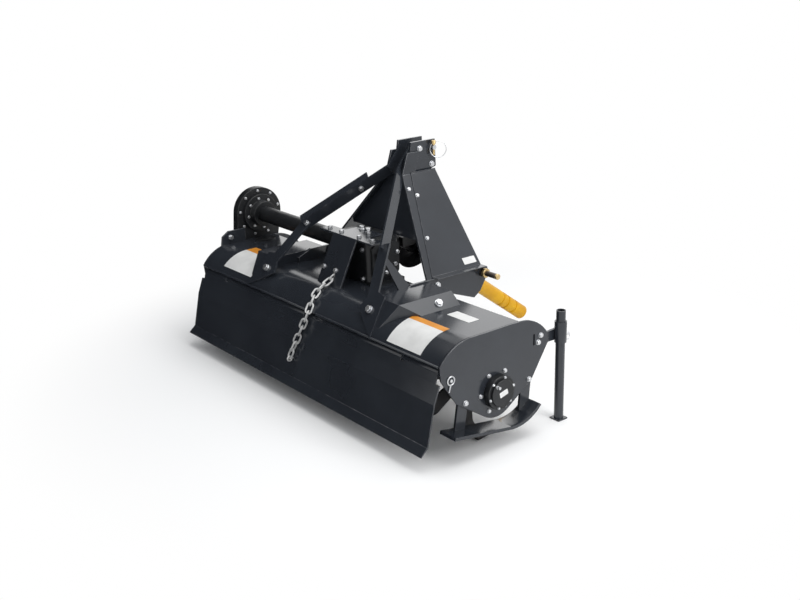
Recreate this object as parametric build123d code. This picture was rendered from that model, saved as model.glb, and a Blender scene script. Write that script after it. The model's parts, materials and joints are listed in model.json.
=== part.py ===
from build123d import *
import os
from math import acos, atan2, cos, degrees, hypot, radians, sin, sqrt, tan

# Rotary tiller for a three-point hitch, in millimetres.
# X runs to the machine's right, Y forward to the tractor and Z up.
# Pieces are modelled about the rotor axis (Y = Z = 0) and set on the ground at the end.

# Hood
WIDTH = 1600.0              # over the outer faces of the end plates
PLATE_T = 8.0               # end plates
DECK_T = 5.0                # deck sheet
HOOD_RISE = 228.0           # deck top above the rotor axis
DECK_FLAT_REAR = 120.0      # flat top, behind and ahead of the rotor axis
DECK_FLAT_FRONT = 110.0
DECK_BEND_R = 167.0         # outside radius of the rounded front and rear
DECK_REAR_SWEEP = 56.0      # degrees of bend
DECK_FRONT_SWEEP = 53.0     # end plates only
DECK_FOLD = 40.0            # degrees the sheet itself folds down ahead of its flat
DECK_FOLD_LENGTH = 86.0
PLATE_REAR_CORNER = (6.0, -52.0)     # from the deck's rear edge
PLATE_REAR_FOOT = (-185.0, 2.0)
PLATE_FRONT_CORNER = (13.0, -38.0)   # from the deck's front edge
PLATE_FRONT_FOOT = (172.0, -5.0)
PLATE_BOTTOM_R = 100.0      # round foot of the end plate about the rotor axis
PLATE_BORE_R = 45.0         # shaft hole in the end plates
PLATE_SLOT_AT = (181.0, 142.0)       # beside the stand's arm
PLATE_SLOT_SIZE = (8.0, 42.0)

# Rotor
TINE_REACH = 200.0          # rotor axis to tine tip, and to the ground
SHAFT_R = 40.0
STUB_R = 25.0
STUB_SEAT = 15.0            # length of the stub inside its bearing
STUB_END_GAP = 5.0
FLANGE_COUNT = 7
FLANGE_R = 95.0
FLANGE_T = 10.0
TINES_PER_FLANGE = 6
TINE_T = 8.0
TINE_FOOT = 105.0           # sideways length of the tine's foot
TINE_BEND_R = 26.0
TINE_TILT = 14.7            # degrees the foot slopes back from its leading edge
TINE_ROOT = 52.0            # shank's inner end, from the rotor axis
TINE_SEAT = 2.0             # depth of the shank's seat in the flange
TINE_SIDE_GAP = 39.0        # outermost tine foot to the end plate
SHAFT_OVERHANG = 90.0       # tube past the outer flanges
TINE_BEND_STEPS = 4         # flats round the bend
TINE_LEAD = 14.0            # leading edge at the tip
TINE_EDGE = ((22.0, 0.0), (26.0, 0.4), (24.0, 0.7), (TINE_LEAD, 1.0),
             (-50.0, 1.0), (-37.0, 0.7), (-26.0, 0.4), (-22.0, 0.0))   # Y and share of the reach
RUNNING_FIT = 0.05          # radial clearance of shafts in bearings
SLIDE_FIT = 0.3             # radial clearance of sleeves and collars

# Bearing and chain case
BEARING_R = 62.0
BEARING_DEPTH = 26.0
BEARING_CAP_R = 50.0
BEARING_CAP_T = 8.0
CROSS_Y = 45.0              # cross shaft and gearbox input, from the rotor axis
CROSS_Z = 340.0
CASE_FOOT_R = 96.0
CASE_HEAD_R = 112.0
CASE_DEPTH = 40.0
CASE_COVER_T = 8.0
CASE_COVER_INSET = 8.0
CASE_EAR = ((-168.0, 200.0), (-158.0, 262.0), (-125.0, 284.0), (-40.0, 284.0), (-40.0, 200.0))
TUBE_R = 35.0
TUBE_FLANGE_R = 84.0
TUBE_FLANGE_T = 16.0
TUBE_COLLAR_R = 56.0
TUBE_COLLAR_LENGTH = 34.0

# Gearbox
GEARBOX_HALF_WIDTH = 118.0
GEARBOX_REAR = 30.0
GEARBOX_FRONT = 120.0
GEARBOX_TOP = 400.0
GEARBOX_EDGE_R = 20.0
GEARBOX_BASE_T = 12.0
GEARBOX_BASE_LIP = 30.0
GEARBOX_BOSS_R = 50.0
GEARBOX_BOSS_LENGTH = 30.0
SIDE_COVER_SIZE = 130.0
SIDE_COVER_T = 12.0
SIDE_COVER_DOME_R = 46.0
SIDE_COVER_DOME_T = 14.0
BRACKET_T = 8.0
BRACKET_HALF_WIDTH = 76.0
BRACKET_TOP_FRONT = 70.0
BRACKET_WING = 172.0        # half width of the top plate's rear part
BRACKET_WING_FRONT = 4.0
BRACKET_REAR_GAP = 24.0     # bracket's bend behind the gearbox
BRACKET_LEAN = 26.0         # degrees the bracket's rear plate leans

# Driveline
INPUT_SHAFT_R = 17.5
INPUT_SHAFT_LENGTH = 50.0
YOKE_HUB_R = 28.0
YOKE_HUB_LENGTH = 48.0
YOKE_REACH = 52.0           # joint centre to the hub's face
EAR_IN = 28.0
EAR_OUT = 40.0
EAR_R = 20.0
YOKE_WEB_T = 12.0
EAR_SEAT = 6.0              # ears into the web
TRUNNION_R = 10.5
CROSS_CORE = 30.0
DRIVELINE_DROOP = 36.0      # degrees below level when parked
DRIVELINE_LENGTH = 812.0    # joint centre to the guard's free end
GUARD_R = 32.0
GUARD_WALL = 5.0
GUARD_GROOVES = (174.0, 137.0, 82.0)   # from the free end
GUARD_GROOVE_R = 29.5
GUARD_GROOVE_WIDTH = 8.0
GUARD_STEP = 2.0            # bore's step in front of the collar
GUARD_CONE_R = 105.0
GUARD_CONE_START = 60.0
GUARD_CONE_END = 130.0
GUARD_COLLAR_LENGTH = 14.0
PROFILE_SIZE = 36.0
PROFILE_BORE_R = 13.0
PROFILE_BLIND = 20.0        # solid length ahead of the yoke
PROFILE_INSET = 20.0        # profile tube back from the guard's end

# Hitch
SADDLE_IN = 340.0
SADDLE_TOP_OUT = 475.0
SADDLE_OUT = 525.0
SADDLE_RISE = 42.0
SADDLE_FRONT = 78.0
SADDLE_REAR_TOP = -165.0
SADDLE_TIP = (12.0, 11.0)   # from the deck's rear edge
SADDLE_CORNER = 60.0        # length of the cut-off outer rear corner
SADDLE_TIP_X = 420.0
SADDLE_T = 6.0
SADDLE_EDGE_INSET = 0.5     # shares of the sheet's thickness at its sloping sides
SADDLE_SIDE_INSET = 1.6
SADDLE_REAR_INSET = 1.3
HITCH_PLATE_T = 12.0
HITCH_PLATE_TOP = 276.0
HITCH_PLATE_OUTLINE = ((-60.0, 215.0), (-60.0, 250.0), (0.0, HITCH_PLATE_TOP), (353.0, HITCH_PLATE_TOP),
                       (384.0, 268.0), (390.0, 244.0), (347.0, 176.0), (315.0, 154.0), (150.0, 215.0))
HITCH_PIN_Y = 358.0
HITCH_PIN_Z = 250.0
HITCH_PIN_R = 11.0
HITCH_PIN_LENGTH = 88.0
HITCH_COLLAR_R = 18.0
HITCH_COLLAR_T = 8.0
MAST_GAP = 70.0
MAST_T = 10.0
MAST_OUTLINE = ((231.0, 610.0), (250.0, 737.0), (372.0, 737.0), (376.0, 628.0), (300.0, 600.0), (231.0, 600.0))
TOP_PIN_Y = 352.0
TOP_PIN_Z = 707.0
TOP_PIN_R = 9.5
TOP_PIN_OVERHANG = 22.0
LEG_T = 10.0
LEG_TOP = 700.0
LEG_BEND_Z = 612.0
LEG_BEND_DROP = 8.0
LEG_WIDTH = 60.0
LEG_TOP_Y = 254.0
LEG_FOOT_Y = 104.0
SHIELD_T = 3.0
SHIELD_TOP = 622.0
SHIELD_FRONT = 362.0
SHIELD_REAR_TOP = 238.0
SHIELD_REAR_FOOT = 112.0
SHIELD_LIP = 20.0
PANEL_LOW = 385.0           # sheet between the legs
PANEL_HIGH = 606.0

# Braces
BRACE_WIDTH = 46.0
BRACE_T = 8.0
BRACE_FOOT_X = 350.0        # foot bar's lower bolt
BRACE_FOOT_DOWN = 57.0      # that bolt below the saddle's top, along its slope
BRACE_FOOT_LEAN = 21.4      # degrees the foot bar leans in
BRACE_FOOT_LENGTH = 240.7   # between the foot bar's bolts
BRACE_FOOT_WIDTH = 50.0
BRACE_FOOT_END = 28.0       # foot bar past its bolts
BRACE_TOP = (206.0, 630.0)
BRACE_TONGUE = ((-62.0, -4.0), (-28.0, 80.0), (42.0, 65.0), (73.0, -96.0))   # on the slope, from its bolt
BRACE_HEAD = ((186.0, 640.0), (250.0, 718.0), (258.0, 718.0), (258.0, 640.0), (226.0, 598.0))
SPLICE_END = 0.78           # share of the brace's length
SPLICE_WIDTH = 38.0
SPLICE_T = 6.0
SPLICE_BITE = 1.0
GUSSET_FOOT = (334.0, -22.0, 255.0)
GUSSET_FOOT_WIDTH = 60.0
GUSSET_HEAD_WIDTH = 16.0
GUSSET_HEAD = 0.92          # share of the foot bar's length

# Skids and parking stand
SKID_INSIDE = 24.0          # runner inside the end plate's inner face
SKID_WIDTH = 80.0
SKID_T = 12.0
SKID_HEEL = (-235.0, -102.0)
SKID_SLOPE = 8.5            # degrees the runner falls from heel to toe
SKID_STRAIGHT = 262.0
SKID_TOE_R = 171.0
SKID_TOE_SWEEP = 55.0
SKID_LEG_T = 10.0
SKID_LEG_WIDTH = 46.0
SKID_LEGS = ((-146.0, 18.0, -180.0), (155.0, 22.0, 132.0))   # bolt Y, top Z, foot Y
STAND_OUT = 14.0            # stand's axis outside the end plates' inner faces
STAND_Y = 309.0
STAND_R = 17.5
STAND_WALL = 3.0
STAND_TOP = 225.0
STAND_FOOT_SIZE = 46.0
STAND_FOOT_T = 6.0
SLEEVE_R = 22.5
SLEEVE_LOW = 104.0
SLEEVE_HIGH = 184.0
ARM_LOW = 112.0
ARM_HIGH = 155.0
ARM_REAR = 178.0
ARM_STEP = 220.0
ARM_REAR_LOW = 118.0
ARM_REAR_HIGH = 164.0
ARM_WAIST = 150.0
ARM_TOE = 15.0              # lower edge's start ahead of the end plate's curve
LOCK_PIN_R = 7.0
LOCK_PIN_LENGTH = 22.0
LOCK_PIN_Z = 128.0

# Tailgate and chain
HINGE_AHEAD = 15.0          # hinge ahead of and below the deck's rear edge
HINGE_BELOW = 24.0
HINGE_ROD_R = 8.0
KNUCKLE_R = 14.0
LUG_XS = (-600.0, 0.0, 600.0)
LUG_T = 12.0
LUG_R = 13.0
LUG_GAP = 1.0
LUG_SWING_GAP = 3.0
TAILGATE_T = 5.0
TAILGATE_OVERHANG = 6.0     # past the end plates' outer faces
TAILGATE_SIDE_GAP = 6.0     # between the upper strip and the end plates
NOTCH_MARGIN = 1.0
TAILGATE_BENDS = ((-23.0, -35.0), (-47.0, -98.0), (-79.0, -244.0), (-109.0, -270.0))   # from the hinge
CHAIN_TOP_X = 12.0
CHAIN_EDGE_X = 45.0         # over the deck's rear edge
CHAIN_EYE_X = -27.0
CHAIN_WRAP_STEPS = 8
CHAIN_WIRE_R = 3.25
CHAIN_LINKS = 13
CHAIN_INNER_HALF = 4.75
CHAIN_PLAY = 0.6
CHAIN_START = (-74.0, 283.0)
CHAIN_LIFT = 1.2            # links off the deck's curve
CHAIN_SLOT_PLAY = 2.0       # round the link that passes the bracket
CHAIN_SLOT_LINK = 1         # that link's place, from the top
EYE_BELOW = 73.4            # under the tailgate's crease
EYE_STAND_OFF = 15.0
EYE_R = 9.5
EYE_WIRE_R = 3.0

HALF = WIDTH / 2
PLATE_IN = HALF - PLATE_T
STAND_X = PLATE_IN + STAND_OUT
GROUND = -TINE_REACH
DECK_BEND_Z = HOOD_RISE - DECK_BEND_R
GEARBOX_AXIS_Y = (GEARBOX_FRONT - GEARBOX_REAR) / 2
JOINT_Y = GEARBOX_FRONT + GEARBOX_BOSS_LENGTH + INPUT_SHAFT_LENGTH + YOKE_REACH
MAST_OUT = MAST_GAP / 2 + MAST_T
TINE_SPAN = TINE_FOOT + FLANGE_T / 2 - TINE_SEAT
FLANGE_PITCH = 2 * (PLATE_IN - TINE_SIDE_GAP - TINE_SPAN) / (FLANGE_COUNT - 1)
MIN_ALIGN = (Align.CENTER, Align.CENTER, Align.MIN)


def rod(start, end, radius):
    """A round bar from one point to another."""
    axis = Vector(*end) - Vector(*start)
    return Plane(origin=start, z_dir=axis) * Cylinder(radius, axis.length, align=MIN_ALIGN)


def flat_bar(start, end, width, thickness, wide_dir):
    """A flat bar from one point to another, its width turned as near to wide_dir as it can be."""
    axis = (Vector(*end) - Vector(*start)).normalized()
    wide = Vector(*wide_dir) - axis * Vector(*wide_dir).dot(axis)
    length = (Vector(*end) - Vector(*start)).length
    return Plane(origin=start, x_dir=wide, z_dir=axis) * Box(width, thickness, length, align=MIN_ALIGN)


def plate_yz(face, x_low, x_high):
    """Extrude an outline drawn in Y and Z across the machine."""
    return extrude(Plane.YZ.offset(x_low) * face, x_high - x_low, dir=(1, 0, 0))


def outline(points):
    """A flat face with straight sides."""
    return make_face(Polyline(*points, close=True))


def plate_xz(face, y_low, y_high):
    """Extrude an outline drawn in X and Z along the machine."""
    plane = Plane(origin=(0, y_high, 0), x_dir=(1, 0, 0), z_dir=(0, -1, 0))
    return extrude(plane * face, y_high - y_low, dir=(0, -1, 0))


def offset_line(points, distance):
    """A line of points moved to its left by a distance, with mitred bends."""
    def left(a, b):
        length = hypot(b[0] - a[0], b[1] - a[1])
        return (-(b[1] - a[1]) / length, (b[0] - a[0]) / length)
    normals = [left(a, b) for a, b in zip(points, points[1:])]
    moved = []
    for i, (px, py) in enumerate(points):
        n0 = normals[max(i - 1, 0)]
        n1 = normals[min(i, len(normals) - 1)]
        scale = distance / (1 + n0[0] * n1[0] + n0[1] * n1[1])
        moved.append((px + (n0[0] + n1[0]) * scale, py + (n0[1] + n1[1]) * scale))
    return moved


def strip(points, thickness):
    """A bent sheet's section: the line of points, thickened to its left."""
    return outline(points + offset_line(points, thickness)[::-1])


def main_solid(shape):
    """The largest solid of a cut piece."""
    return max(shape.solids(), key=lambda solid: solid.volume)


def deck_point(radius, sweep, rear):
    """A point on the rounded front or rear of the hood, sweep degrees down from the top."""
    reach = radius * sin(radians(sweep))
    height = DECK_BEND_Z + radius * cos(radians(sweep))
    if rear:
        return (-DECK_FLAT_REAR - reach, height)
    return (DECK_FLAT_FRONT + reach, height)


def plate_top(radius):
    """The end plates' top line at one radius, from the rear edge over the flat to the front edge."""
    rear = [deck_point(radius, s, True) for s in (DECK_REAR_SWEEP, DECK_REAR_SWEEP / 2, 0)]
    front = [deck_point(radius, s, False) for s in (0, DECK_FRONT_SWEEP / 2, DECK_FRONT_SWEEP)]
    return [ThreePointArc(*rear), Line(rear[2], front[0]), ThreePointArc(*front)]


def fold_edge(depth):
    """The front edge of the folded deck sheet, at a depth under its top."""
    fold = radians(DECK_FOLD)
    return (DECK_FLAT_FRONT + DECK_FOLD_LENGTH * cos(fold) - depth * sin(fold),
            HOOD_RISE - DECK_FOLD_LENGTH * sin(fold) - depth * cos(fold))


def deck_line(depth):
    """The deck sheet's section line at a depth under its top, from rear edge to front edge."""
    radius = DECK_BEND_R - depth
    rear = [deck_point(radius, s, True) for s in (DECK_REAR_SWEEP, DECK_REAR_SWEEP / 2, 0)]
    bend = (DECK_FLAT_FRONT - depth * tan(radians(DECK_FOLD / 2)), HOOD_RISE - depth)
    return [ThreePointArc(*rear), Polyline(rear[2], bend, fold_edge(depth))]


def tangent_foot(point, radius, side):
    """Where a line from a point meets a circle about the rotor axis; side is +1 or -1."""
    angle = atan2(point[1], point[0]) + side * acos(radius / hypot(*point))
    return (radius * cos(angle), radius * sin(angle))


def two_circles(low, low_r, high, high_r):
    """The outline round two circles and their outer tangents, drawn in Y and Z."""
    span = hypot(high[0] - low[0], high[1] - low[1])
    along = atan2(high[1] - low[1], high[0] - low[0])
    turn = acos((low_r - high_r) / span)
    ends = {}
    for side in (1, -1):
        angle = along + side * turn
        ends[side] = ((low[0] + low_r * cos(angle), low[1] + low_r * sin(angle)),
                      (high[0] + high_r * cos(angle), high[1] + high_r * sin(angle)))
    low_end = (low[0] - low_r * cos(along), low[1] - low_r * sin(along))
    high_end = (high[0] + high_r * cos(along), high[1] + high_r * sin(along))
    return make_face([
        ThreePointArc(ends[1][0], low_end, ends[-1][0]),
        Line(ends[-1][0], ends[-1][1]),
        ThreePointArc(ends[-1][1], high_end, ends[1][1]),
        Line(ends[1][1], ends[1][0]),
    ])


# Hood
rear_outer = deck_point(DECK_BEND_R, DECK_REAR_SWEEP, True)
rear_inner = deck_point(DECK_BEND_R - DECK_T, DECK_REAR_SWEEP, True)
front_outer = deck_point(DECK_BEND_R, DECK_FRONT_SWEEP, False)
fold_outer, fold_inner = fold_edge(0), fold_edge(DECK_T)
deck_face = make_face(deck_line(0) + deck_line(DECK_T) + [Line(rear_outer, rear_inner), Line(fold_outer, fold_inner)])
deck_shell = plate_yz(deck_face, -PLATE_IN, PLATE_IN)
rear_corner = (rear_outer[0] + PLATE_REAR_CORNER[0], rear_outer[1] + PLATE_REAR_CORNER[1])
front_corner = (front_outer[0] + PLATE_FRONT_CORNER[0], front_outer[1] + PLATE_FRONT_CORNER[1])
deck_fill = make_face(deck_line(0) + [Polyline(
    rear_outer, (rear_outer[0], GROUND), (fold_outer[0], GROUND), fold_outer)])
deck_block = plate_yz(deck_fill, -PLATE_IN, PLATE_IN)

foot_rear = tangent_foot(PLATE_REAR_FOOT, PLATE_BOTTOM_R, 1)
foot_front = tangent_foot(PLATE_FRONT_FOOT, PLATE_BOTTOM_R, -1)
plate_face = make_face(
    plate_top(DECK_BEND_R)
    + [Polyline(rear_outer, rear_corner, PLATE_REAR_FOOT, foot_rear),
       ThreePointArc(foot_rear, (0, -PLATE_BOTTOM_R), foot_front),
       Polyline(foot_front, PLATE_FRONT_FOOT, front_corner, front_outer)])
plate_face -= Circle(PLATE_BORE_R)
end_plate_right = plate_yz(plate_face - Pos(*PLATE_SLOT_AT) * Rectangle(*PLATE_SLOT_SIZE), PLATE_IN, HALF)
end_plate_left = plate_yz(plate_face + outline(CASE_EAR), -HALF, -PLATE_IN)

# Rotor
stub_end = HALF + STUB_SEAT
shaft_end = FLANGE_PITCH * (FLANGE_COUNT - 1) / 2 + SHAFT_OVERHANG
shaft = rod((-shaft_end, 0, 0), (shaft_end, 0, 0), SHAFT_R)
shaft += rod((-stub_end, 0, 0), (stub_end, 0, 0), STUB_R)
tilt = radians(TINE_TILT)
tine_tip = sqrt(TINE_REACH ** 2 - TINE_LEAD ** 2)
tine_height = tine_tip * cos(tilt) - TINE_LEAD * sin(tilt)
bend_z = tine_height - TINE_BEND_R
tine_line = [(TINE_FOOT, tine_height)]
for k in range(TINE_BEND_STEPS + 1):
    turn = radians(90 * k / TINE_BEND_STEPS)
    tine_line.append((TINE_BEND_R * (1 - sin(turn)), bend_z + TINE_BEND_R * cos(turn)))
tine_line.append((0, TINE_ROOT))
tine_sheet = Rot(X=TINE_TILT) * plate_xz(strip(tine_line, TINE_T), -TINE_REACH, TINE_REACH)
tine_side = outline([(y, tine_tip * share) for y, share in TINE_EDGE])
tine = tine_sheet & plate_yz(tine_side, -TINE_FOOT, TINE_FOOT)
tine = Pos(X=FLANGE_T / 2 - TINE_SEAT) * tine
tine_hands = (tine, mirror(tine, about=Plane.YZ))
flange = rod((-FLANGE_T / 2, 0, 0), (FLANGE_T / 2, 0, 0), FLANGE_R)
rotor_pieces = []
for i in range(FLANGE_COUNT):
    place = Pos(X=FLANGE_PITCH * (i - (FLANGE_COUNT - 1) / 2))
    rotor_pieces.append(place * flange)
    for k in range(TINES_PER_FLANGE):
        turn = 360 / TINES_PER_FLANGE * (k + i / FLANGE_COUNT)
        rotor_pieces.append(place * Rot(X=turn) * tine_hands[(k + i) % 2])
tine_rotor = shaft + rotor_pieces

# Right bearing and left chain case
bearing_housing = rod((HALF, 0, 0), (HALF + BEARING_DEPTH, 0, 0), BEARING_R)
bearing_housing -= rod((HALF, 0, 0), (stub_end + STUB_END_GAP, 0, 0), STUB_R + RUNNING_FIT)
bearing_cap = rod((HALF + BEARING_DEPTH, 0, 0), (HALF + BEARING_DEPTH + BEARING_CAP_T, 0, 0), BEARING_CAP_R)
case_face = two_circles((0, 0), CASE_FOOT_R, (CROSS_Y, CROSS_Z), CASE_HEAD_R)
chain_case = plate_yz(case_face, -HALF - CASE_DEPTH, -HALF)
chain_case -= rod((-stub_end - STUB_END_GAP, 0, 0), (-HALF, 0, 0), STUB_R + RUNNING_FIT)
cover_face = two_circles((0, 0), CASE_FOOT_R - CASE_COVER_INSET, (CROSS_Y, CROSS_Z), CASE_HEAD_R - CASE_COVER_INSET)
case_cover = plate_yz(cover_face, -HALF - CASE_DEPTH - CASE_COVER_T, -HALF - CASE_DEPTH)

# Cross shaft
cross_at = (CROSS_Y, CROSS_Z)
flange_in = -HALF + TUBE_FLANGE_T
collar_in = flange_in + TUBE_COLLAR_LENGTH
boss_left = -GEARBOX_HALF_WIDTH - GEARBOX_BOSS_LENGTH
cross_shaft_flange = rod((-HALF, *cross_at), (flange_in, *cross_at), TUBE_FLANGE_R)
cross_shaft_flange += rod((flange_in, *cross_at), (collar_in, *cross_at), TUBE_COLLAR_R)
cross_shaft_flange -= end_plate_left
cross_shaft_tube = rod((collar_in, *cross_at), (boss_left, *cross_at), TUBE_R)

# Gearbox
body_low = HOOD_RISE + GEARBOX_BASE_T
body_height = GEARBOX_TOP - body_low
body_length = GEARBOX_FRONT + GEARBOX_REAR
gearbox_housing = Pos(0, GEARBOX_AXIS_Y, body_low) * Box(
    2 * GEARBOX_HALF_WIDTH, body_length, body_height, align=MIN_ALIGN)
gearbox_housing = fillet(gearbox_housing.edges().filter_by(Axis.Z), GEARBOX_EDGE_R)
gearbox_housing += Pos(0, GEARBOX_AXIS_Y, HOOD_RISE) * Box(
    2 * (GEARBOX_HALF_WIDTH + GEARBOX_BASE_LIP), body_length, GEARBOX_BASE_T, align=MIN_ALIGN)
gearbox_housing += rod((boss_left, *cross_at), (0, *cross_at), GEARBOX_BOSS_R)
gearbox_housing += rod((0, 0, CROSS_Z), (0, GEARBOX_FRONT + GEARBOX_BOSS_LENGTH, CROSS_Z), GEARBOX_BOSS_R)
side_cover = Pos(GEARBOX_HALF_WIDTH, GEARBOX_AXIS_Y, (body_low + GEARBOX_TOP) / 2) * Box(
    SIDE_COVER_T, SIDE_COVER_SIZE, SIDE_COVER_SIZE, align=(Align.MIN, Align.CENTER, Align.CENTER))
side_cover = fillet(side_cover.edges().filter_by(Axis.X), GEARBOX_EDGE_R)
dome_x = GEARBOX_HALF_WIDTH + SIDE_COVER_T
side_cover += rod((dome_x, *cross_at), (dome_x + SIDE_COVER_DOME_T, *cross_at), SIDE_COVER_DOME_R)

bracket_top = GEARBOX_TOP + BRACKET_T
bracket_rear = -GEARBOX_REAR - BRACKET_REAR_GAP
bracket_drop = bracket_top - HOOD_RISE + DECK_BEND_R / 4
bracket_line = [(BRACKET_TOP_FRONT, bracket_top), (bracket_rear, bracket_top),
                (bracket_rear - bracket_drop * tan(radians(BRACKET_LEAN)), bracket_top - bracket_drop)]
gearbox_bracket = plate_yz(strip(bracket_line, BRACKET_T), -BRACKET_HALF_WIDTH, BRACKET_HALF_WIDTH) - deck_block
gearbox_bracket += Pos(0, (bracket_rear + BRACKET_WING_FRONT) / 2, GEARBOX_TOP) * Box(
    2 * BRACKET_WING, BRACKET_WING_FRONT - bracket_rear, BRACKET_T, align=MIN_ALIGN)

# Input shaft and universal joint
shaft_y = GEARBOX_FRONT + GEARBOX_BOSS_LENGTH
input_shaft = rod((0, shaft_y, CROSS_Z), (0, shaft_y + INPUT_SHAFT_LENGTH, CROSS_Z), INPUT_SHAFT_R)


def yoke(hub_length):
    """A fork with its joint centre at the origin, its hub along +Z and its ears on X."""
    hub = Pos(Z=YOKE_REACH) * Cylinder(YOKE_HUB_R, hub_length, align=MIN_ALIGN)
    web = Pos(Z=YOKE_REACH - YOKE_WEB_T) * Box(2 * EAR_OUT, 2 * EAR_R, YOKE_WEB_T, align=MIN_ALIGN)
    fork = hub + web
    for side in (1, -1):
        middle = side * (EAR_IN + EAR_OUT) / 2
        fork += Pos(X=middle) * Box(EAR_OUT - EAR_IN, 2 * EAR_R, YOKE_REACH - EAR_SEAT, align=MIN_ALIGN)
        fork += rod((side * EAR_IN, 0, 0), (side * EAR_OUT, 0, 0), EAR_R)
    return fork - rod((-EAR_OUT, 0, 0), (EAR_OUT, 0, 0), TRUNNION_R + RUNNING_FIT)


joint_at = (0, JOINT_Y, CROSS_Z)
droop = radians(DRIVELINE_DROOP)
drive_dir = (0, cos(droop), -sin(droop))
input_frame = Plane(origin=joint_at, x_dir=(1, 0, 0), z_dir=(0, -1, 0))
drive_frame = Plane(origin=joint_at, x_dir=(0, sin(droop), cos(droop)), z_dir=drive_dir)
input_yoke = input_frame * yoke(YOKE_HUB_LENGTH)
input_yoke -= rod((0, shaft_y, CROSS_Z), (0, shaft_y + INPUT_SHAFT_LENGTH, CROSS_Z), INPUT_SHAFT_R + RUNNING_FIT)
joint_cross = drive_frame * Box(CROSS_CORE, CROSS_CORE, CROSS_CORE)
for arm in ((EAR_OUT, 0, 0), (0, EAR_OUT, 0)):
    joint_cross += drive_frame * rod([-v for v in arm], arm, TRUNNION_R)

# Driveline
driveline_yoke = drive_frame * yoke(YOKE_HUB_LENGTH)
profile_start = YOKE_REACH + YOKE_HUB_LENGTH
profile_end = DRIVELINE_LENGTH - PROFILE_INSET
profile = Pos(Z=profile_start) * Box(PROFILE_SIZE, PROFILE_SIZE, profile_end - profile_start, align=MIN_ALIGN)
bore_start = (0, 0, profile_start + PROFILE_BLIND)
profile -= rod(bore_start, (0, 0, profile_end), PROFILE_BORE_R)
driveline_tube = drive_frame * profile
guard_bore = GUARD_R - GUARD_WALL
collar_at = profile_start - GUARD_COLLAR_LENGTH
guard_points = [
    (GUARD_CONE_R - GUARD_WALL, GUARD_CONE_START), (GUARD_CONE_R, GUARD_CONE_START),
    (GUARD_R, GUARD_CONE_END)]
for from_end in GUARD_GROOVES:
    groove = DRIVELINE_LENGTH - from_end
    guard_points += [(GUARD_R, groove), (GUARD_GROOVE_R, groove), (GUARD_GROOVE_R, groove + GUARD_GROOVE_WIDTH),
                     (GUARD_R, groove + GUARD_GROOVE_WIDTH)]
guard_points += [
    (GUARD_R, DRIVELINE_LENGTH), (guard_bore, DRIVELINE_LENGTH), (guard_bore, profile_start + GUARD_STEP),
    (YOKE_HUB_R + SLIDE_FIT, profile_start), (YOKE_HUB_R + SLIDE_FIT, collar_at)]
guard_face = outline(guard_points)
guard = revolve(Plane.XZ * guard_face, Axis.Z)
driveline_guard = drive_frame * guard

# Saddles, hitch plates and pins
saddle_top = HOOD_RISE + SADDLE_RISE
saddle_low = DECK_BEND_Z
tip_y, tip_z = rear_outer[0] + SADDLE_TIP[0], rear_outer[1] + SADDLE_TIP[1]


def saddle_solid(inset):
    """The space under a saddle's sheet, drawn in by inset."""
    section = outline([(SADDLE_IN + inset, saddle_low), (SADDLE_IN + inset, saddle_top - inset),
                       (SADDLE_TOP_OUT - inset * SADDLE_EDGE_INSET, saddle_top - inset),
                       (SADDLE_OUT - inset * SADDLE_SIDE_INSET, HOOD_RISE),
                       (SADDLE_OUT - inset * SADDLE_SIDE_INSET, saddle_low)])
    rear = tip_y + inset * SADDLE_REAR_INSET
    side = outline([(SADDLE_FRONT, saddle_low), (SADDLE_FRONT, saddle_top), (SADDLE_REAR_TOP + inset, saddle_top),
                    (rear, tip_z), (rear, saddle_low)])
    solid = plate_xz(section, -HALF, SADDLE_FRONT) & plate_yz(side, SADDLE_IN, SADDLE_OUT)
    corner_front = SADDLE_REAR_TOP + SADDLE_CORNER
    corner = outline([(HALF, corner_front), (SADDLE_OUT - inset, corner_front),
                      (SADDLE_TOP_OUT - inset, SADDLE_REAR_TOP + inset), (SADDLE_TIP_X - inset, tip_y - SADDLE_T),
                      (HALF, tip_y - SADDLE_T)])
    return solid - extrude(corner, 2 * saddle_top)


saddle_right = saddle_solid(0.0) - saddle_solid(SADDLE_T) - deck_block
saddle_left = mirror(saddle_right, about=Plane.YZ)
plate_low = SADDLE_IN - HITCH_PLATE_T
hitch_plate_right = plate_yz(outline(HITCH_PLATE_OUTLINE), plate_low, SADDLE_IN) - deck_block
hitch_plate_left = mirror(hitch_plate_right, about=Plane.YZ)
pin_at = (HITCH_PIN_Y, HITCH_PIN_Z)
hitch_pin_right = rod((SADDLE_IN, *pin_at), (SADDLE_IN + HITCH_COLLAR_T, *pin_at), HITCH_COLLAR_R)
hitch_pin_right += rod((SADDLE_IN, *pin_at), (SADDLE_IN + HITCH_PIN_LENGTH, *pin_at), HITCH_PIN_R)
hitch_pin_left = mirror(hitch_pin_right, about=Plane.YZ)

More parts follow.
